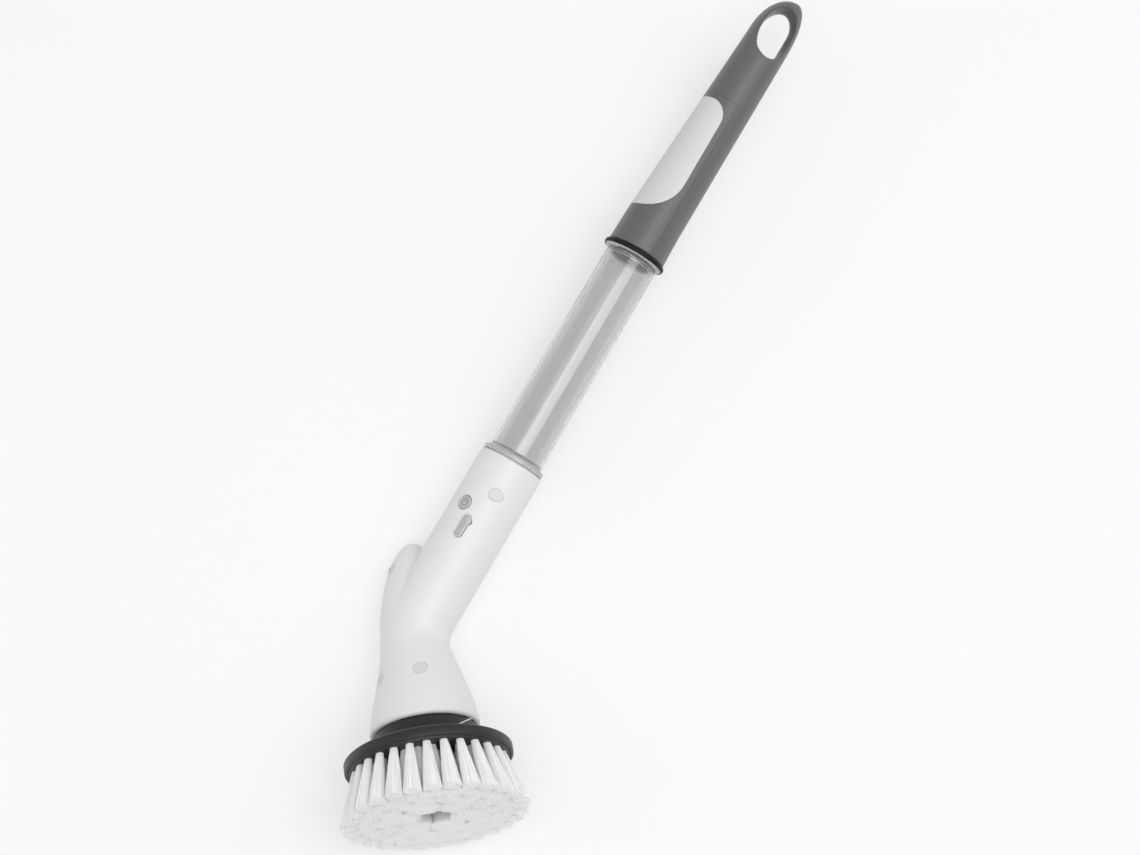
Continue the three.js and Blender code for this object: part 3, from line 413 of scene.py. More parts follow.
def moulded(name, base, rough, grain=0.0005, depth=0.00001, mottle=0.03, **sockets):
    """Moulded plastic or rubber: fine grain in the surface, slow drift in colour and gloss"""
    if name in bpy.data.materials:
        return bpy.data.materials[name]
    mat = bpy.data.materials.new(name)
    mat.use_nodes = True
    nodes, links = mat.node_tree.nodes, mat.node_tree.links
    shader = nodes["Principled BSDF"]
    coords = nodes.new("ShaderNodeTexCoord")
    fine, slow = nodes.new("ShaderNodeTexNoise"), nodes.new("ShaderNodeTexNoise")
    fine.inputs["Scale"].default_value = 1.0 / grain
    fine.inputs["Detail"].default_value = 3.0
    slow.inputs["Scale"].default_value = 38.0
    slow.inputs["Detail"].default_value = 4.0
    for n in (fine, slow):
        links.new(coords.outputs["Object"], n.inputs["Vector"])
    shade = nodes.new("ShaderNodeMix")
    shade.data_type = "RGBA"
    shade.inputs["A"].default_value = (*[c * (1 - mottle) for c in base[:3]], 1)
    shade.inputs["B"].default_value = (*[min(1, c * (1 + mottle)) for c in base[:3]], 1)
    links.new(slow.outputs["Fac"], shade.inputs["Factor"])
    links.new(shade.outputs["Result"], shader.inputs["Base Color"])
    gloss = nodes.new("ShaderNodeMapRange")
    gloss.inputs["To Min"].default_value = max(0.02, rough - 0.06)
    gloss.inputs["To Max"].default_value = min(1.0, rough + 0.06)
    links.new(slow.outputs["Fac"], gloss.inputs["Value"])
    links.new(gloss.outputs["Result"], shader.inputs["Roughness"])
    bump = nodes.new("ShaderNodeBump")
    bump.inputs["Strength"].default_value = 0.5
    bump.inputs["Distance"].default_value = depth
    links.new(fine.outputs["Fac"], bump.inputs["Height"])
    links.new(bump.outputs["Normal"], shader.inputs["Normal"])
    for key, value in sockets.items():
        shader.inputs[key.replace("_", " ")].default_value = value
    return mat


def satin_white():
    return moulded("satin_white_shell", tint("body"), 0.42, grain=0.0006, depth=0.000008, mottle=0.012)


def cap_white():
    return moulded("screw_cap_white", tint("plug"), 0.5, mottle=0.02)


def black_rubber():
    return moulded("black_rubber", tint("ring"), 0.5, grain=0.0004, depth=0.00002, mottle=0.2,
                   Specular_IOR_Level=0.25)


def grip_plastic():
    return moulded("grip_grey_plastic", tint("grip"), 0.38, grain=0.0007, depth=0.000014, mottle=0.035)


def clear_plastic(name, base, rough, clear):
    return moulded(name, base, rough, grain=0.006, depth=0.0, mottle=0.015,
                   Transmission_Weight=clear, IOR=1.58)


def pale_table():
    """Table top that looks half as dark in shade as it is, to the eye and through clear or shiny pieces"""
    mat = moulded("pale_table", tint("floor"), 0.8, grain=0.002, depth=0.0, mottle=0.005)
    nodes, links = mat.node_tree.nodes, mat.node_tree.links
    glow_share = 0.5
    path, glow, mix = (nodes.new("ShaderNode" + kind) for kind in ("LightPath", "Emission", "MixShader"))
    seen = path.outputs["Is Camera Ray"]
    for ray in ("Is Glossy Ray", "Is Transmission Ray"):
        either = nodes.new("ShaderNodeMath")
        either.operation = "MAXIMUM"
        links.new(seen, either.inputs[0])
        links.new(path.outputs[ray], either.inputs[1])
        seen = either.outputs[0]
    part = nodes.new("ShaderNodeMath")
    part.operation = "MULTIPLY"
    part.inputs[1].default_value = glow_share
    links.new(seen, part.inputs[0])
    links.new(part.outputs[0], mix.inputs["Fac"])
    links.new(nodes["Principled BSDF"].outputs["BSDF"], mix.inputs[1])
    links.new(glow.outputs["Emission"], mix.inputs[2])
    links.new(mix.outputs["Shader"], nodes["Material Output"].inputs["Surface"])
    return mat


# Pieces

def head_shift(k):
    """How far the leaning axis of the bulge lies from the brush axis at station k"""
    return BULGE_LEAN * max(0.0, BULGE_MID - k)


def body_skin(name, inset, sides):
    """Handle, elbow and neck as one swept form, or the hollow inside it"""
    r, top = mm("body_radius"), mm("body_top")
    rim_round, bend_steps = 1.1, 8
    start = (AXIS_SHIFT + NECK[0][1]) / math.sin(BEND) + SPINE_R * math.tan(BEND / 2)
    pivot = Vector((start, -SPINE_R, 0))
    if inset:
        rings = [(Vector((top + PAST, 0, 0)), 0.0, r - inset)]
    else:
        rings = [(Vector((top, 0, 0)), 0.0, r - rim_round), (Vector((top - rim_round, 0, 0)), 0.0, r)]
    for i in range(bend_steps + 1):
        t = i / bend_steps
        a = t * BEND
        out = Vector((-math.sin(a), math.cos(a), 0))
        rings.append((pivot + out * SPINE_R, a, r + (NECK[0][2] - r) * t - inset))
    for k, shift, radius in NECK[1:] if inset else NECK[1:] + RIM:
        rings.append((on_head(k, shift), BEND, radius - inset))
    if inset:
        rings.append((on_head(RIM_K + PAST, RIM[-1][1]), BEND, NECK[-1][2] - inset))
    return swept(name, rings, sides)


def bulge_skin(name, inset, sides):
    """The rounded motor bulge on the outer side of the elbow, or the hollow inside it"""
    r, far = mm("bulge_radius") - inset, mm("bulge_length") - inset
    root_k, root_shift = 10, 0.2
    rings = [(on_head(root_k, root_shift), BEND, r)]
    for a in range(0, 90, 6):
        k = BULGE_MID - far * math.sin(math.radians(a))
        rings.append((on_head(k, head_shift(k)), BEND, r * math.cos(math.radians(a))))
    return swept(name, rings, sides)


def screw_spots():
    """Where the screw caps are: the point in the plane of the bend and the height of the skin over it"""
    top, r, far = mm("body_top"), mm("body_radius"), mm("bulge_length")
    below_rim, aside, up = 22, -0.6, 0.8
    spots = [(Vector((top - below_rim, aside * r, 0)), up * r)]
    on_neck_and_bulge = (29, 12.3), (BULGE_MID - 0.68 * far, -3.1), (27.2, -14.3)
    for k, q in on_neck_and_bulge:
        if k < BULGE_MID:
            radius = mm("bulge_radius") * math.sqrt(1 - ((BULGE_MID - k) / far) ** 2)
            shift = head_shift(k)
        else:
            low = max(n for n in NECK if n[0] <= k)
            high = min(n for n in NECK if n[0] > k)
            t = (k - low[0]) / (high[0] - low[0])
            radius, shift = low[2] + t * (high[2] - low[2]), low[1] + t * (high[1] - low[1])
        spots.append((on_head(k, q), math.sqrt(radius ** 2 - (q - shift) ** 2)))
    return spots


class SCRUBBER_OT_housing(bpy.types.Operator):
    """Builds the two white shells and the caps over their screws"""
    bl_idname = "scrubber.housing"
    bl_label = "Housing shells"

    def execute(self, context):
        wall, cap_r = mm("wall"), mm("plug_radius")
        cap_depth, pocket_depth, above = 9, 12, 60
        hole_low, hole_top = 8, 40
        cap_gap, button_gap, flap_gap, half_seam = 0.16, 0.42, 0.22, 0.03
        solid = combine(body_skin("body_form", 0, 72), bulge_skin("bulge", 0, 64), "UNION")
        soften(solid, 0.85, 14)
        spots = screw_spots()
        for i, (p, height) in enumerate(spots):
            cap = turned(f"cap_{i + 1}", [(cap_r, height - cap_depth), (cap_r, above)], 40)
            set_in(cap, Matrix.Translation((p.x, p.y, 0)))
            combine(cap, solid, "INTERSECT", keep=True)
            dress(cap, "handle", "plug_white", cap_white(), f"screw_plug_{i + 1}")
        hollow = combine(body_skin("hollow", wall, 56), bulge_skin("bulge_hollow", wall, 48), "UNION")
        shell = combine(solid, hollow)
        around = cap_r + cap_gap
        for p, height in spots:
            pocket = turned("pocket", [(around, height - pocket_depth), (around, above)], 40)
            combine(shell, set_in(pocket, Matrix.Translation((p.x, p.y, 0))))
        around = mm("button_radius") + button_gap
        hole = turned("button_hole", [(around, hole_low), (around, hole_top)], 48)
        combine(shell, set_in(hole, BUTTON))
        combine(shell, set_in(flap_form("port_hole", flap_gap, hole_low, hole_top), PORT))
        rear = copy_of(shell, "rear_shell")
        keep_side(shell, (0, 0, half_seam), (0, 0, -1))
        keep_side(rear, (0, 0, -half_seam), (0, 0, 1))
        shell.name = "front_shell"
        dress(shell, "handle", "white_shell", satin_white(), "housing_front")
        dress(rear, "handle", "white_shell", satin_white(), "housing_rear")
        return {"FINISHED"}


def flap_form(name, grow, z0, z1):
    """Outline of the port cover with its finger tab"""
    long, wide = mm("port_long"), mm("port_wide")
    tab_r, tab_in = 1.7 + grow, 0.5
    bar = oblong(name, long + 2 * grow, wide + 2 * grow, z0, z1)
    tab = turned("tab", [(tab_r, z0), (tab_r, z1)], 32)
    set_in(tab, Matrix.Translation((long * 0.25, tab_in - wide / 2, 0)))
    return combine(bar, tab, "UNION")


def power_button():
    """Dished button with the power sign raised in its dish"""
    r, proud = mm("button_radius"), 0.4
    top = mm("body_radius") + proud
    rim = [(r, top - 4.5), (r, top - 0.35), (r - 0.12, top - 0.1), (r - 0.35, top), (r - 0.72, top - 0.02)]
    dish = [(r - 0.95, top - 0.3), (r * 0.4, top - 0.36), (0.25, top - 0.36)]
    button = turned("button", rim + dish, 64)
    sign_low, sign_top = top - 0.6, top - 0.24
    arc_in, arc_out, half_gap = 1.7, 2.25, 0.95
    bar_long, bar_wide, bar_x = 2.4, 0.55, 1.55
    section = [(arc_in, sign_low), (arc_out, sign_low), (arc_out, sign_top), (arc_in, sign_top)]
    arc = turned("arc", section, 48, looped=True)
    combine(arc, slab("gap", (0, -half_gap, top - 2), (4, half_gap, top + 2)))
    bar = oblong("bar", bar_long, bar_wide, sign_low, sign_top, 16)
    set_in(bar, Matrix.Translation((bar_x, 0, 0)))
    sign = joined("button_sign", [arc, bar])
    grey = moulded("button_grey", tint("button"), 0.4, mottle=0.02)
    dark = moulded("button_sign_grey", [c * 0.5 for c in tint("button")], 0.5)
    dress(button, "button", "button_grey", grey, "power_button", place=BUTTON)
    dress(sign, "button", "button_grey", dark, place=BUTTON)


def port_flap():
    """Rubber cover on the skin of the body, with a tongue into the port and a raised face; round the face the same
    rubber is painted lighter, a painted highlight of its lit edge
    """
    long, wide, skin = mm("port_long"), mm("port_wide"), mm("body_radius")
    tongue_short, tongue_x, face_place = 5, 2.5, (-0.1, 0.4, 0)
    flap = bevel(flap_form("flap", 0, skin + 0.05, skin + 0.8), 0.25)
    tongue = oblong("tongue", long - tongue_short, wide - FIT, skin - 1.6, skin + 0.2)
    set_in(tongue, Matrix.Translation((tongue_x, 0, 0)))
    combine(flap, tongue, "UNION")
    face = bevel(oblong("flap_face", long - 0.9, wide - 1.5, skin + 0.6, skin + 1.1), 0.2)
    set_in(face, Matrix.Translation(face_place))
    rubber = moulded("flap_grey_rubber", tint("flap"), 0.62, grain=0.0003, depth=0.00001, mottle=0.03)
    # painted highlight: the cover's edge and tab are the same rubber made lighter to look lit
    pale = moulded("flap_rubber_painted_highlight", [c * 1.35 for c in tint("flap")], 0.6, mottle=0.03)
    dress(flap, "port_flap", "cover_grey", pale, "port_cover", place=PORT)
    dress(face, "port_flap", "cover_grey", rubber, place=PORT)


class SCRUBBER_OT_controls(bpy.types.Operator):
    """Builds the power button and the rubber cover of the charging port"""
    bl_idname = "scrubber.controls"
    bl_label = "Button and port cover"

    def execute(self, context):
        power_button()
        port_flap()
        return {"FINISHED"}


def tube_ends():
    """Where the clear tube starts and ends along the handle"""
    low = mm("body_top") + FIT
    return low, low + mm("tube_length")


def gasket_top():
    """Where the black ring ends along the handle"""
    return tube_ends()[1] + FIT + GASKET_WEB


def grip_base():
    """Where the grip starts along the handle"""
    return tube_ends()[1] + 2 * FIT + GASKET_WEB


def flange_fillet(r, x, way):
    """Round between the tube and a flange, as radius and place along the handle"""
    size = 3.0
    arc = [math.radians(a) for a in range(10, 91, 10)]
    return [(r + size * (1 - math.sin(a)), x + way * size * (1 - math.cos(a))) for a in arc]


def clear_tube():
    """Clear tube with a frosted flange at each end"""
    low, end = tube_ends()
    rl, rt, wall = mm("tube_low"), mm("tube_top"), mm("tube_wall")
    seat, foot_x, head_x = low - 0.24, low + FLANGE_LOW_T, end - FLANGE_TOP_T
    frost_low, frost_top = foot_x + 1.2, head_x - 0.8
    foot = [p for p in flange_fillet(rl, foot_x, 1) if p[0] < FLANGE_LOW - 0.4]
    head = [p for p in flange_fillet(rt, head_x, -1) if p[0] < FLANGE_TOP - 0.3]
    low_flange = [(FLANGE_LOW - 0.4, seat), (FLANGE_LOW, low + 0.1), (FLANGE_LOW, foot_x - 0.4),
                  (FLANGE_LOW - 0.3, foot_x - 0.1)]
    top_flange = [(FLANGE_TOP - 0.2, head_x + 0.1), (FLANGE_TOP, head_x + 0.4), (FLANGE_TOP, end)]
    section = [(rl - wall, seat), *low_flange, *foot, *reversed(head), *top_flange, (rt - wall, end)]
    tube = turned("tube", section, 160, looped=True)
    glassy = clear_plastic("clear_grey_tube", tint("tube"), 0.07, 0.9)
    frosted = clear_plastic("frosted_flange", (0.8, 0.8, 0.8, 1), 0.28, 0.55)
    dress(tube, "handle", "clear_tube", [glassy, frosted], "clear_tube", place=ALONG_X)
    drawn = TOOL.inverted()
    for face in tube.data.polygons:
        x = (drawn @ face.center).x
        face.material_index = int(x < frost_low or x > frost_top)


def rubber_ring():
    """Black ring between tube and grip, with a lip over the upper flange"""
    top, g = gasket_top(), mm("gasket_radius")
    bore, inner = mm("tube_top") - mm("tube_wall"), FLANGE_TOP + FIT
    web = [(bore, top - GASKET_WEB), (inner, top - GASKET_WEB)]
    lip = [(inner, top - 2.6), (g - 0.5, top - 2.7), (g - 0.2, top - 2.4), (g, top - 1.7)]
    shoulder = [(g, top - 0.9), (g - 0.25, top - 0.3), (g - 0.7, top)]
    ring = turned("ring", [*web, *lip, *shoulder, (bore, top)], 96, looped=True)
    dress(ring, "handle", "rubber", black_rubber(), "tube_gasket", place=ALONG_X)


def tube_plug():
    """White plug that closes the body and centres the tube, with a shallow dish in its face"""
    low = tube_ends()[0]
    in_body, in_tube = mm("body_radius") - mm("wall") - FIT, mm("tube_low") - mm("tube_wall") - FIT
    depth, face, dish = low - 7, low + 2.0, low + 1.2
    plug = turned("tube_plug", [(in_body, depth), (in_body, low - FIT), (in_tube, low - FIT),
                                (in_tube, face - 0.4), (in_tube - 0.4, face), (9.0, face), (8.4, dish),
                                (0.6, dish)], 72)
    dress(plug, "handle", "white_shell", satin_white(), "lower_plug", place=ALONG_X)


def grip_collar():
    """Clear collar of the grip in the top of the tube, with two thin white rings round its edge as painted
    highlights
    """
    end, step = tube_ends()[1], gasket_top() + 0.6
    r = mm("tube_top") - mm("tube_wall") - FIT
    inside, back, bead = r - 1.4, gasket_top() + 14, 0.36
    nose = [(inside, end - 2.4), (r - 0.9, end - 2.7), (r - 0.3, end - 2.7), (r, end - 2.4), (r, end - 0.5)]
    spigot = [(r, step), (SPIGOT_R, step), (SPIGOT_R, back), (inside, back)]
    collar = turned("collar", nose + spigot, 96, looped=True)
    glassy = clear_plastic("clear_collar", (0.95, 0.95, 0.95, 1), 0.1, 0.9)
    dress(collar, "handle", "clear_ring", glassy, "grip_spigot", place=ALONG_X)
    # painted highlight: opaque white beads where the clear edges catch the light
    white = moulded("collar_edge_painted_highlight", (0.95, 0.95, 0.95, 1), 0.3)
    around = [math.radians(a) for a in range(0, 360, 45)]
    for i, (line_r, x) in enumerate(((r - 0.3, end - 3.0), (r - 1.5, end - 4.2))):
        section = [(line_r + bead * math.cos(a), x + bead * math.sin(a)) for a in around]
        line = turned(f"collar_edge_{i + 1}", section, 96, looped=True)
        dress(line, "handle", "clear_ring", white, place=ALONG_X)


class SCRUBBER_OT_tube(bpy.types.Operator):
    """Builds the clear tube, the plug and collar at its ends and the black ring"""
    bl_idname = "scrubber.tube"
    bl_label = "Tube and ring"

    def execute(self, context):
        clear_tube()
        rubber_ring()
        tube_plug()
        grip_collar()
        return {"FINISHED"}


def grip_form(name, inset, from_d, to_d, sides):
    """The tapering grip with its rounded end, thumb side up, between two distances from its base"""
    long, low_r, end_r = mm("grip_length"), mm("grip_low"), mm("grip_end")
    rounding, blunt, tip = 29.0, 2.3, 0.004
    drop_from, nose = 20, 0.3
    straight = long - rounding
    stops = [from_d] + [d for d in range(10, 200, 10) if from_d < d < min(straight, to_d)]
    if to_d > straight:
        arc = (0, 10, 20, 30, 40, 50, 58, 66, 73, 79, 84, 88)
        stops += [straight + rounding * math.sin(math.radians(a)) for a in arc]
    else:
        stops.append(to_d)
    rings = []
    for d in stops:
        full = low_r + (end_r - low_r) * min(1.0, d / straight)
        past = max(0.0, (d - straight) / rounding)
        r = full * math.sqrt(max(tip, 1 - past ** blunt))
        dropped = min(1.0, max(0.0, (d - drop_from) / (straight - drop_from)))
        drop = GRIP_DROP * dropped + nose * (full - r)
        rings.append((Vector((grip_base() + d, 0, -drop)), 0.0, r - inset))
    return swept(name, rings, sides)


def pad_plan(name, grow):
    """Side outline of the thumb pad as a cutting form: a swept lower corner and a rounded upper one"""
    above, aside = 40.0, 40
    x0, x1 = grip_base() + 23.5 - grow, grip_base() + 99.0 + grow
    z0, corner = -3.7 - grow, 12.0 + grow
    sweep_x, sweep_z = 22.0 + grow, 20.7 + grow
    sweep_steps, corner_steps = 24, 20
    points = [(x0, above)]
    for i in range(sweep_steps + 1):
        a = math.pi * (1 + i / (2 * sweep_steps))
        points.append((x0 + sweep_x + sweep_x * math.cos(a), z0 + sweep_z + sweep_z * math.sin(a)))
    for i in range(corner_steps + 1):
        a = math.pi * (1.5 + i / (2 * corner_steps))
        points.append((x1 - corner + corner * math.cos(a), z0 + corner + corner * math.sin(a)))
    points.append((x1, above))
    pick()
    bpy.ops.mesh.primitive_circle_add(vertices=len(points), radius=1, fill_type="NGON")
    obj = bpy.context.object
    obj.name = name
    for v, (x, z) in zip(obj.data.vertices, points):
        v.co = (x, -aside, z)
    edit(obj)
    bpy.ops.mesh.extrude_region_move(TRANSFORM_OT_translate={"value": (0, 2 * aside, 0)})
    close_mesh()
    return obj


def hang_hole(name):
    """A slot through the grip, narrow in the middle and flared to an oval on both sides"""
    long, wide, from_end = mm("hang_long"), mm("hang_wide"), 24.4
    waist, reach = 1.5, 18.0
    grow_long, grow_wide, shift = 3.05, 4.6, (2.25, -3.8)
    obj = slot_ring(name, 2 * long, 2 * wide, (1.4 * wide, 0.75 * wide), -waist, 80)
    select_edges(obj, lambda a, b: a.x * b.x < 0)
    bpy.ops.mesh.subdivide(number_cuts=16)
    bpy.ops.mesh.select_all(action="SELECT")
    bpy.ops.mesh.extrude_edges_move(TRANSFORM_OT_translate={"value": (0, 0, 2 * waist)})
    for z, step in ((waist, reach - waist), (-waist, waist - reach)):
        select_edges(obj, lambda a, b: max(abs(a.z - z), abs(b.z - z)) < 1e-4)
        bpy.ops.mesh.extrude_edges_move(TRANSFORM_OT_translate={"value": (*shift, step)})
        middle = Vector((*shift, z + step))
        bpy.ops.transform.tosphere(value=1, center_override=middle)
        obj.update_from_editmode()
        r = next((v.co - middle).length for v in obj.data.vertices if v.select)
        oval = ((long + grow_long) / r, (wide + grow_wide) / r, 1)
        bpy.ops.transform.resize(value=oval, center_override=middle)
    close_mesh()
    upright = basis(Vector((1, 0, 0)), AXIS_Z, Vector((0, -1, 0))).to_4x4()
    x = grip_base() + mm("grip_length") - from_end
    return set_in(obj, Matrix.Translation((x, 0, -GRIP_DROP)) @ upright)


class SCRUBBER_OT_grip(bpy.types.Operator):
    """Builds the grey grip with its hang hole, its cover and the white thumb pad"""
    bl_idname = "scrubber.grip"
    bl_label = "Grip"

    def execute(self, context):
        long, depth, base = mm("grip_length"), mm("pad_depth"), grip_base()
        cover_x, cover_z, seam, aside = base + 102, -7.5, 0.12, 60
        pad_gap, bed_gap = 0.18, 0.3
        core_from, core_to = -2, long - 30
        bore_r, bore_end = SPIGOT_R + 0.5, base + 22
        solid = grip_form("grip_form", 0, 0, long, 72)
        combine(solid, hang_hole("hang_hole"))
        soften(solid, 0.65, 6)
        pad = combine(copy_of(solid, "pad"), pad_plan("plan", 0), "INTERSECT")
        combine(pad, grip_form("core", depth, core_from, core_to, 72))
        bed = grip_form("bed", depth + bed_gap, core_from, core_to, 72)
        pocket = combine(pad_plan("pocket", pad_gap), bed)
        zone = slab("zone", (base - PAST, -aside, cover_z), (cover_x, aside, aside))
        cover = combine(copy_of(solid, "cover"), zone, "INTERSECT")
        combine(cover, pocket)
        combine(solid, slab("room", (base - PAST, -aside, cover_z - seam), (cover_x + seam, aside, aside)))
        solid.name = "grip"
        for part in (solid, cover):
            bore = turned("bore", [(bore_r, base - PAST), (bore_r, bore_end)], 48)
            combine(part, set_in(bore, ALONG_X))
        soft_white = moulded("pad_soft_white", tint("pad"), 0.5, grain=0.0008, depth=0.00001, mottle=0.02)
        dress(solid, "handle", "grip_grey", grip_plastic(), "grip_body", place=GRIP)
        dress(cover, "handle", "grip_grey", grip_plastic(), "grip_cover", place=GRIP)
        dress(pad, "handle", "pad_white", soft_white, "thumb_pad", place=GRIP)
        return {"FINISHED"}


def tuft_place(row, i, spin=0.0):
    """From a straight tuft along Z to the leaning place of tuft i of a row on the plate"""
    angle = -2 * math.pi * (i + row.phase) / row.count
    lean = Matrix.Identity(4)
    lean[0][2] = (row.tip - row.root) / (TIP_K - PLATE_FACE)
    put = Matrix.Translation((row.root, 0, PLATE_FACE))
    return Matrix.Rotation(angle, 4, "Z") @ put @ lean @ Matrix.Rotation(spin, 4, "Z")


def brush_black():
    return moulded("plate_black", tint("plate"), 0.42, grain=0.0009, depth=0.00006, mottle=0.25)


def brush_hub():
    """Collar below the neck, spreading to a disc in the brush plate"""
    h, p = mm("hub_radius"), mm("plate_radius")
    shaft_r, boss_r, inside, disc_r = 3.3, 7, h - 2.2, p - 2.6
    boss_top, floor, disc_end = HUB_TOP + 1.7, PLATE_TOP - 1.6, PLATE_TOP + 2.2
    well = [(shaft_r, boss_top), (boss_r, boss_top), (boss_r, floor), (inside, floor), (inside, HUB_TOP)]
    skirt = [(h - 0.5, HUB_TOP), (h, HUB_TOP + 0.5), (h + 0.5, PLATE_TOP - 0.6), (h + 1.0, PLATE_TOP + 0.1)]
    disc = [(disc_r, PLATE_TOP + 0.4), (disc_r, disc_end), (shaft_r, disc_end)]
    hub = turned("hub", well + skirt + disc, 96, looped=True)
    dress(bevel(hub, 0.25), "brush", "brush_black", brush_black(), "brush_hub", place=HEAD)


def latch_painted_highlight():
    """White strip slanting along the edge of the latch on the side of the hub, a painted highlight of that edge"""
    h, long, wide, sunk, proud = mm("hub_radius"), 11.5, 0.7, -0.35, 0.12
    turn, fall, spread = math.radians(14), -5.0, math.radians(20)
    strip = oblong("latch_painted_highlight", long, wide, sunk, proud, 16)
    slant = math.atan2(fall, spread * h)
    lie = Matrix.Rotation(turn, 4, "Z") @ Matrix.Translation((h + 0.22, 0, HUB_TOP + 2.6))
    set_in(strip, lie @ ALONG_X @ Matrix.Rotation(-slant, 4, "Z"))
    # painted highlight: the caps' white stands for light along the latch edge
    dress(strip, "brush", "bristle_white", cap_white(), place=HEAD)


def brush_plate():
    """Black plate with a stepped rim and a hole for each tuft"""
    p, screw_r, back = mm("plate_radius"), 1.8, PLATE_FACE - 3.3
    inside = p - 2.3
    hole_r, hole_depth, hole_above = mm("tuft_root") + 0.3, -2.4, 1.5
    well = [(screw_r, back), (inside, back), (inside, PLATE_TOP + 0.3)]
    rim = [(p - 1.9, PLATE_TOP), (p - 0.9, PLATE_TOP), (p, PLATE_TOP + 0.9), (p, PLATE_FACE - 1.9),
           (p - 0.7, PLATE_FACE - 1.1), (p - 1.6, PLATE_FACE - 1.0)]
    face = [(p - 2.0, PLATE_FACE - 1.5), (p - 2.5, PLATE_FACE - 0.2), (p - 2.8, PLATE_FACE),
            (screw_r, PLATE_FACE)]
    plate = bevel(turned("plate", well + rim + face, 112, looped=True), 0.2, 2)
    hole = turned("hole", [(hole_r, hole_depth), (hole_r, hole_above)], 14)
    places = [tuft_place(row, i) for row in ROWS for i in range(row.count)]
    holes = [set_in(copy_of(hole, "tuft_hole"), place) for place in places]
    bpy.data.objects.remove(hole)
    combine(plate, joined("holes", holes))
    dress(plate, "brush", "brush_black", brush_black(), "brush_plate", place=HEAD)


class SCRUBBER_OT_brush_plate(bpy.types.Operator):
    """Builds the hub with the painted highlight along its latch edge and the brush plate with its tuft holes"""
    bl_idname = "scrubber.brush_plate"
    bl_label = "Hub and brush plate"

    def execute(self, context):
        brush_hub()
        latch_painted_highlight()
        brush_plate()
        return {"FINISHED"}


def filament_tuft(name, seed, fan):
    """One tuft along Z: a core, strands that fan out over it and fine filaments round the edge"""
    draw = random.Random(seed)
    sizes = bpy.context.scene.scrubber_sizes
    root, thin, thick, tall = mm("tuft_root"), mm("filament"), mm("strand"), TIP_K - PLATE_FACE
    sunk, filled, dome = 2.0, 0.93, 0.6
    wide = root + (fan - root) * filled
    core = turned("core", [(root * 0.9, -sunk), (root * 0.93, 0), (wide * 0.9, tall * 0.92),
                           (wide * 0.8, tall * 0.945), (wide * 0.4, tall * 0.96), (0.2, tall * 0.965)], 18)
    hair = turned("hair", [(thin, 0.0), (thin, 0.985), (thin * 0.5, 1.0)], 5)
    strand = turned("strand", [(thin, 0.0), (thick, 0.985), (thick * 0.45, 1.0)], 5)
    grown = fan / ROWS[0].fan
    around, inside = round(sizes.filaments * grown), round(sizes.strands * grown ** 2)
    reaches = [(hair, draw.uniform(0.92, 1.0)) for _ in range(around)]
    reaches += [(strand, filled * math.sqrt((i + 0.5) / inside)) for i in range(inside)]
    parts = [core]
    for i, (kind, reach) in enumerate(reaches):
        turn = i * GOLDEN_TURN + draw.uniform(-0.1, 0.1)
        way = Vector((math.cos(turn), math.sin(turn), 0))
        start, end = way * (root - thin) * reach, way * (fan * reach * draw.uniform(0.95, 1.04) - thin)
        end.z = tall - dome * reach ** 2 + draw.uniform(-0.5, 0.1)
        slope = Matrix.Identity(4)
        slope[0][2], slope[1][2], slope[2][2] = end.x - start.x, end.y - start.y, end.z + sunk
        one = copy_of(kind, "filament")
        one.data.transform(Matrix.Translation((start.x, start.y, -sunk)) @ slope)
        parts.append(one)
    for kind in (hair, strand):
        bpy.data.objects.remove(kind)
    return joined(name, parts)


class SCRUBBER_OT_bristles(bpy.types.Operator):
    """Builds the rows of nylon tufts"""
    bl_idname = "scrubber.bristles"
    bl_label = "Bristles"

    def execute(self, context):
        draw = random.Random(7)
        nylon = moulded("white_nylon", tint("bristle"), 0.45, grain=0.0006, depth=0.00001, mottle=0.03)
        for row in ROWS:
            kinds = [filament_tuft(f"tuft_{row.name}_{i}", draw.randrange(1000), row.fan) for i in range(2)]
            tufts = []
            for i in range(row.count):
                one = copy_of(draw.choice(kinds), "tuft")
                one.data.transform(tuft_place(row, i, draw.uniform(0, 2 * math.pi)))
                tufts.append(one)
            for kind in kinds:
                bpy.data.objects.remove(kind)
            bundle = joined("bristles_" + row.name, tufts)
            dress(bundle, "brush", "bristle_white", nylon, "bristles", place=HEAD, angle=50)
        return {"FINISHED"}


class SCRUBBER_OT_inside(bpy.types.Operator):
    """Gives the CAD pieces inside the shells their finishes"""
    bl_idname = "scrubber.inside"
    bl_label = "Inner pieces"

    def execute(self, context):
        slots = {s["node"]: s["material_slot"] for s in frame["record"]["subparts"]}
        base = {m["slot"]: m for m in frame["record"]["materials"]}
        for name, obj in frame["nodes"].items():
            slot = base[slots[name]]
            metal = slot["class"] in ("brushed_steel", "brass", "painted_metal", "aluminium")
            shine = 1.0 if metal and slot["class"] != "aluminium" else 0.0
            rough = 0.32 if metal else 0.55
            finish = moulded("inner_" + slot["slot"], slot["base_color"], rough, mottle=0.06, Metallic=shine)
            obj.data.materials.clear()
            obj.data.materials.append(finish)
        return {"FINISHED"}


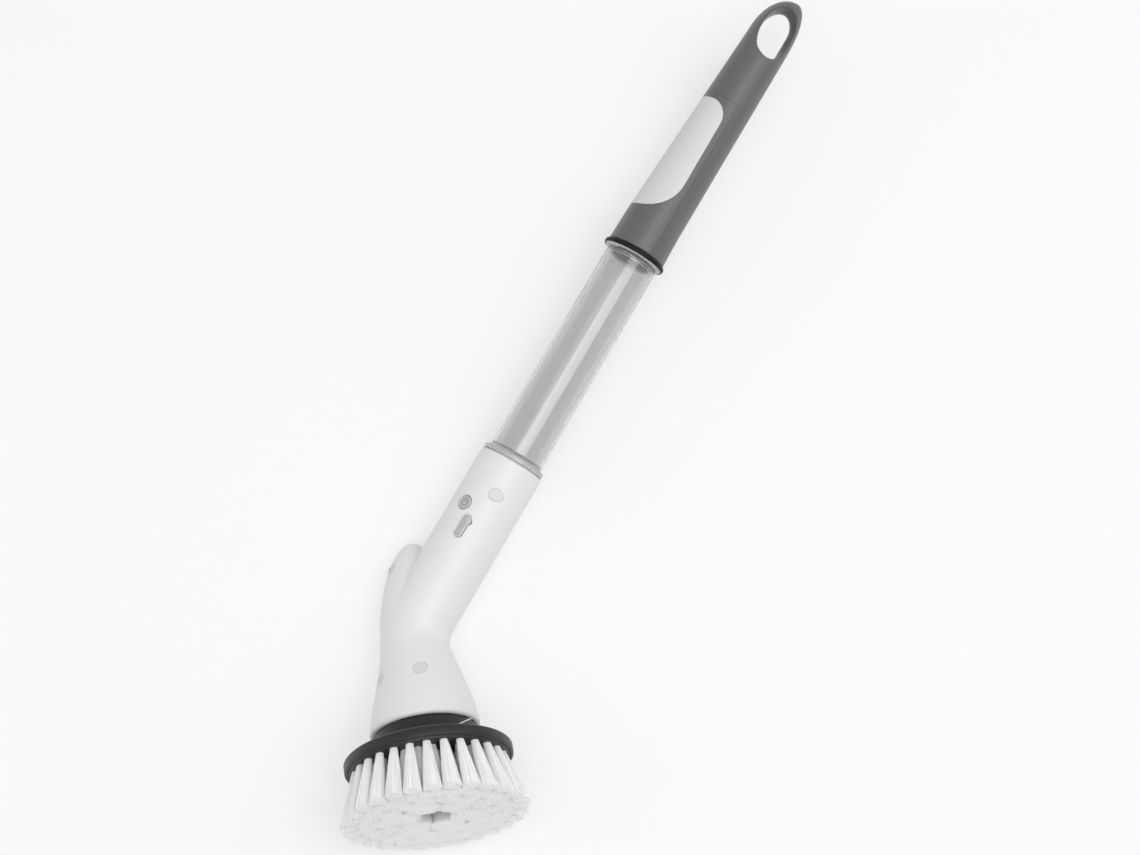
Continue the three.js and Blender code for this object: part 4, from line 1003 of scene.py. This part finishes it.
class SCRUBBER_OT_stage(bpy.types.Operator):
    """Sets the table, the lights and the camera of the photograph"""
    bl_idname = "scrubber.stage"
    bl_label = "Table, lights and camera"

    def execute(self, context):
        scene = context.scene
        table_size, sky_strength = 8, 0.45
        scene.view_settings.view_transform = "Standard"
        pick()
        bpy.ops.mesh.primitive_plane_add(size=table_size)
        floor = context.object
        floor.name = "table"
        floor.data.materials.append(pale_table())
        world = bpy.data.worlds.new("studio")
        scene.world = world
        world.use_nodes = True
        sky = world.node_tree.nodes["Background"]
        sky.inputs["Color"].default_value = (1, 1, 1, 1)
        sky.inputs["Strength"].default_value = sky_strength
        self.camera(scene)
        seen = scene.camera.matrix_world.to_3x3()
        for name, place, size, power in (
            ("front_box", (0.25, 0.1, 1.9), (2.0, 1.2), 20.0),
            ("side_box", (1.3, 0.5, 1.1), (0.9, 0.9), 3.6),
            ("left_fill", (-1.3, 0.1, 1.1), (0.9, 0.9), 2.0),
        ):
            spot = seen @ Vector(place)
            bpy.ops.object.light_add(type="AREA", location=spot)
            lamp = context.object
            lamp.name = name
            lamp.data.shape = "RECTANGLE"
            lamp.data.size, lamp.data.size_y = size
            lamp.data.energy = power
            lamp.rotation_euler = spot.to_track_quat("Z", "Y").to_euler()
        return {"FINISHED"}

    def seen_way(self, turn, rise):
        """A direction in the camera's frame: degrees of turn in the picture and of rise to the lens"""
        turn, rise = math.radians(turn), math.radians(rise)
        return Vector((math.sin(turn) * math.cos(rise), -math.cos(turn) * math.cos(rise), math.sin(rise)))

    def camera(self, scene):
        """Viewpoint fitted to the photograph: the elbow, handle and brush as the camera sees them"""
        elbow = Vector((-90.3, -118.3, -1375.0))
        handle, brush = self.seen_way(-30.37, 7.0), self.seen_way(9.5, 27.3)
        sensor, focal_pixels, photo_pixels = 36.0, 2450, 1140
        x = -handle
        z = handle.cross(brush).normalized()
        seen = basis(x, z.cross(x), z)
        where = seen.transposed() @ -elbow
        turn = TOOL.to_3x3().normalized() @ seen.transposed()
        data = bpy.data.cameras.new("photo_camera")
        data.sensor_width, data.lens = sensor, sensor * focal_pixels / photo_pixels
        data.clip_end = 50
        cam = bpy.data.objects.new("photo_camera", data)
        scene.collection.objects.link(cam)
        cam.matrix_world = Matrix.Translation(TOOL @ where) @ turn.to_4x4()
        scene.camera = cam


class SCRUBBER_PT_panel(bpy.types.Panel):
    """Lists the steps that build the scrubber"""
    bl_idname = "SCRUBBER_PT_panel"
    bl_label = "Spin scrubber"
    bl_space_type = "VIEW_3D"
    bl_region_type = "UI"
    bl_category = "Scrubber"

    def draw(self, context):
        for step in STEPS:
            self.layout.operator(step.bl_idname)
        for group in (context.scene.scrubber_sizes, context.scene.scrubber_colours):
            column = self.layout.column()
            for key in group.__annotations__:
                column.prop(group, key)


STEPS = (SCRUBBER_OT_stage, SCRUBBER_OT_inside, SCRUBBER_OT_housing, SCRUBBER_OT_controls, SCRUBBER_OT_tube,
         SCRUBBER_OT_grip, SCRUBBER_OT_brush_plate, SCRUBBER_OT_bristles)
CLASSES = (ScrubberSizes, ScrubberColours, *STEPS, SCRUBBER_PT_panel)


def register():
    for c in CLASSES:
        bpy.utils.register_class(c)
    bpy.types.Scene.scrubber_sizes = PointerProperty(type=ScrubberSizes)
    bpy.types.Scene.scrubber_colours = PointerProperty(type=ScrubberColours)


def unregister():
    del bpy.types.Scene.scrubber_colours
    del bpy.types.Scene.scrubber_sizes
    for c in reversed(CLASSES):
        bpy.utils.unregister_class(c)


def main():
    register()
    bpy.ops.scrubber.stage()
    bpy.ops.scrubber.inside()
    bpy.ops.scrubber.housing()
    bpy.ops.scrubber.controls()
    bpy.ops.scrubber.tube()
    bpy.ops.scrubber.grip()
    bpy.ops.scrubber.brush_plate()
    bpy.ops.scrubber.bristles()


if __name__ == "__main__":
    main()
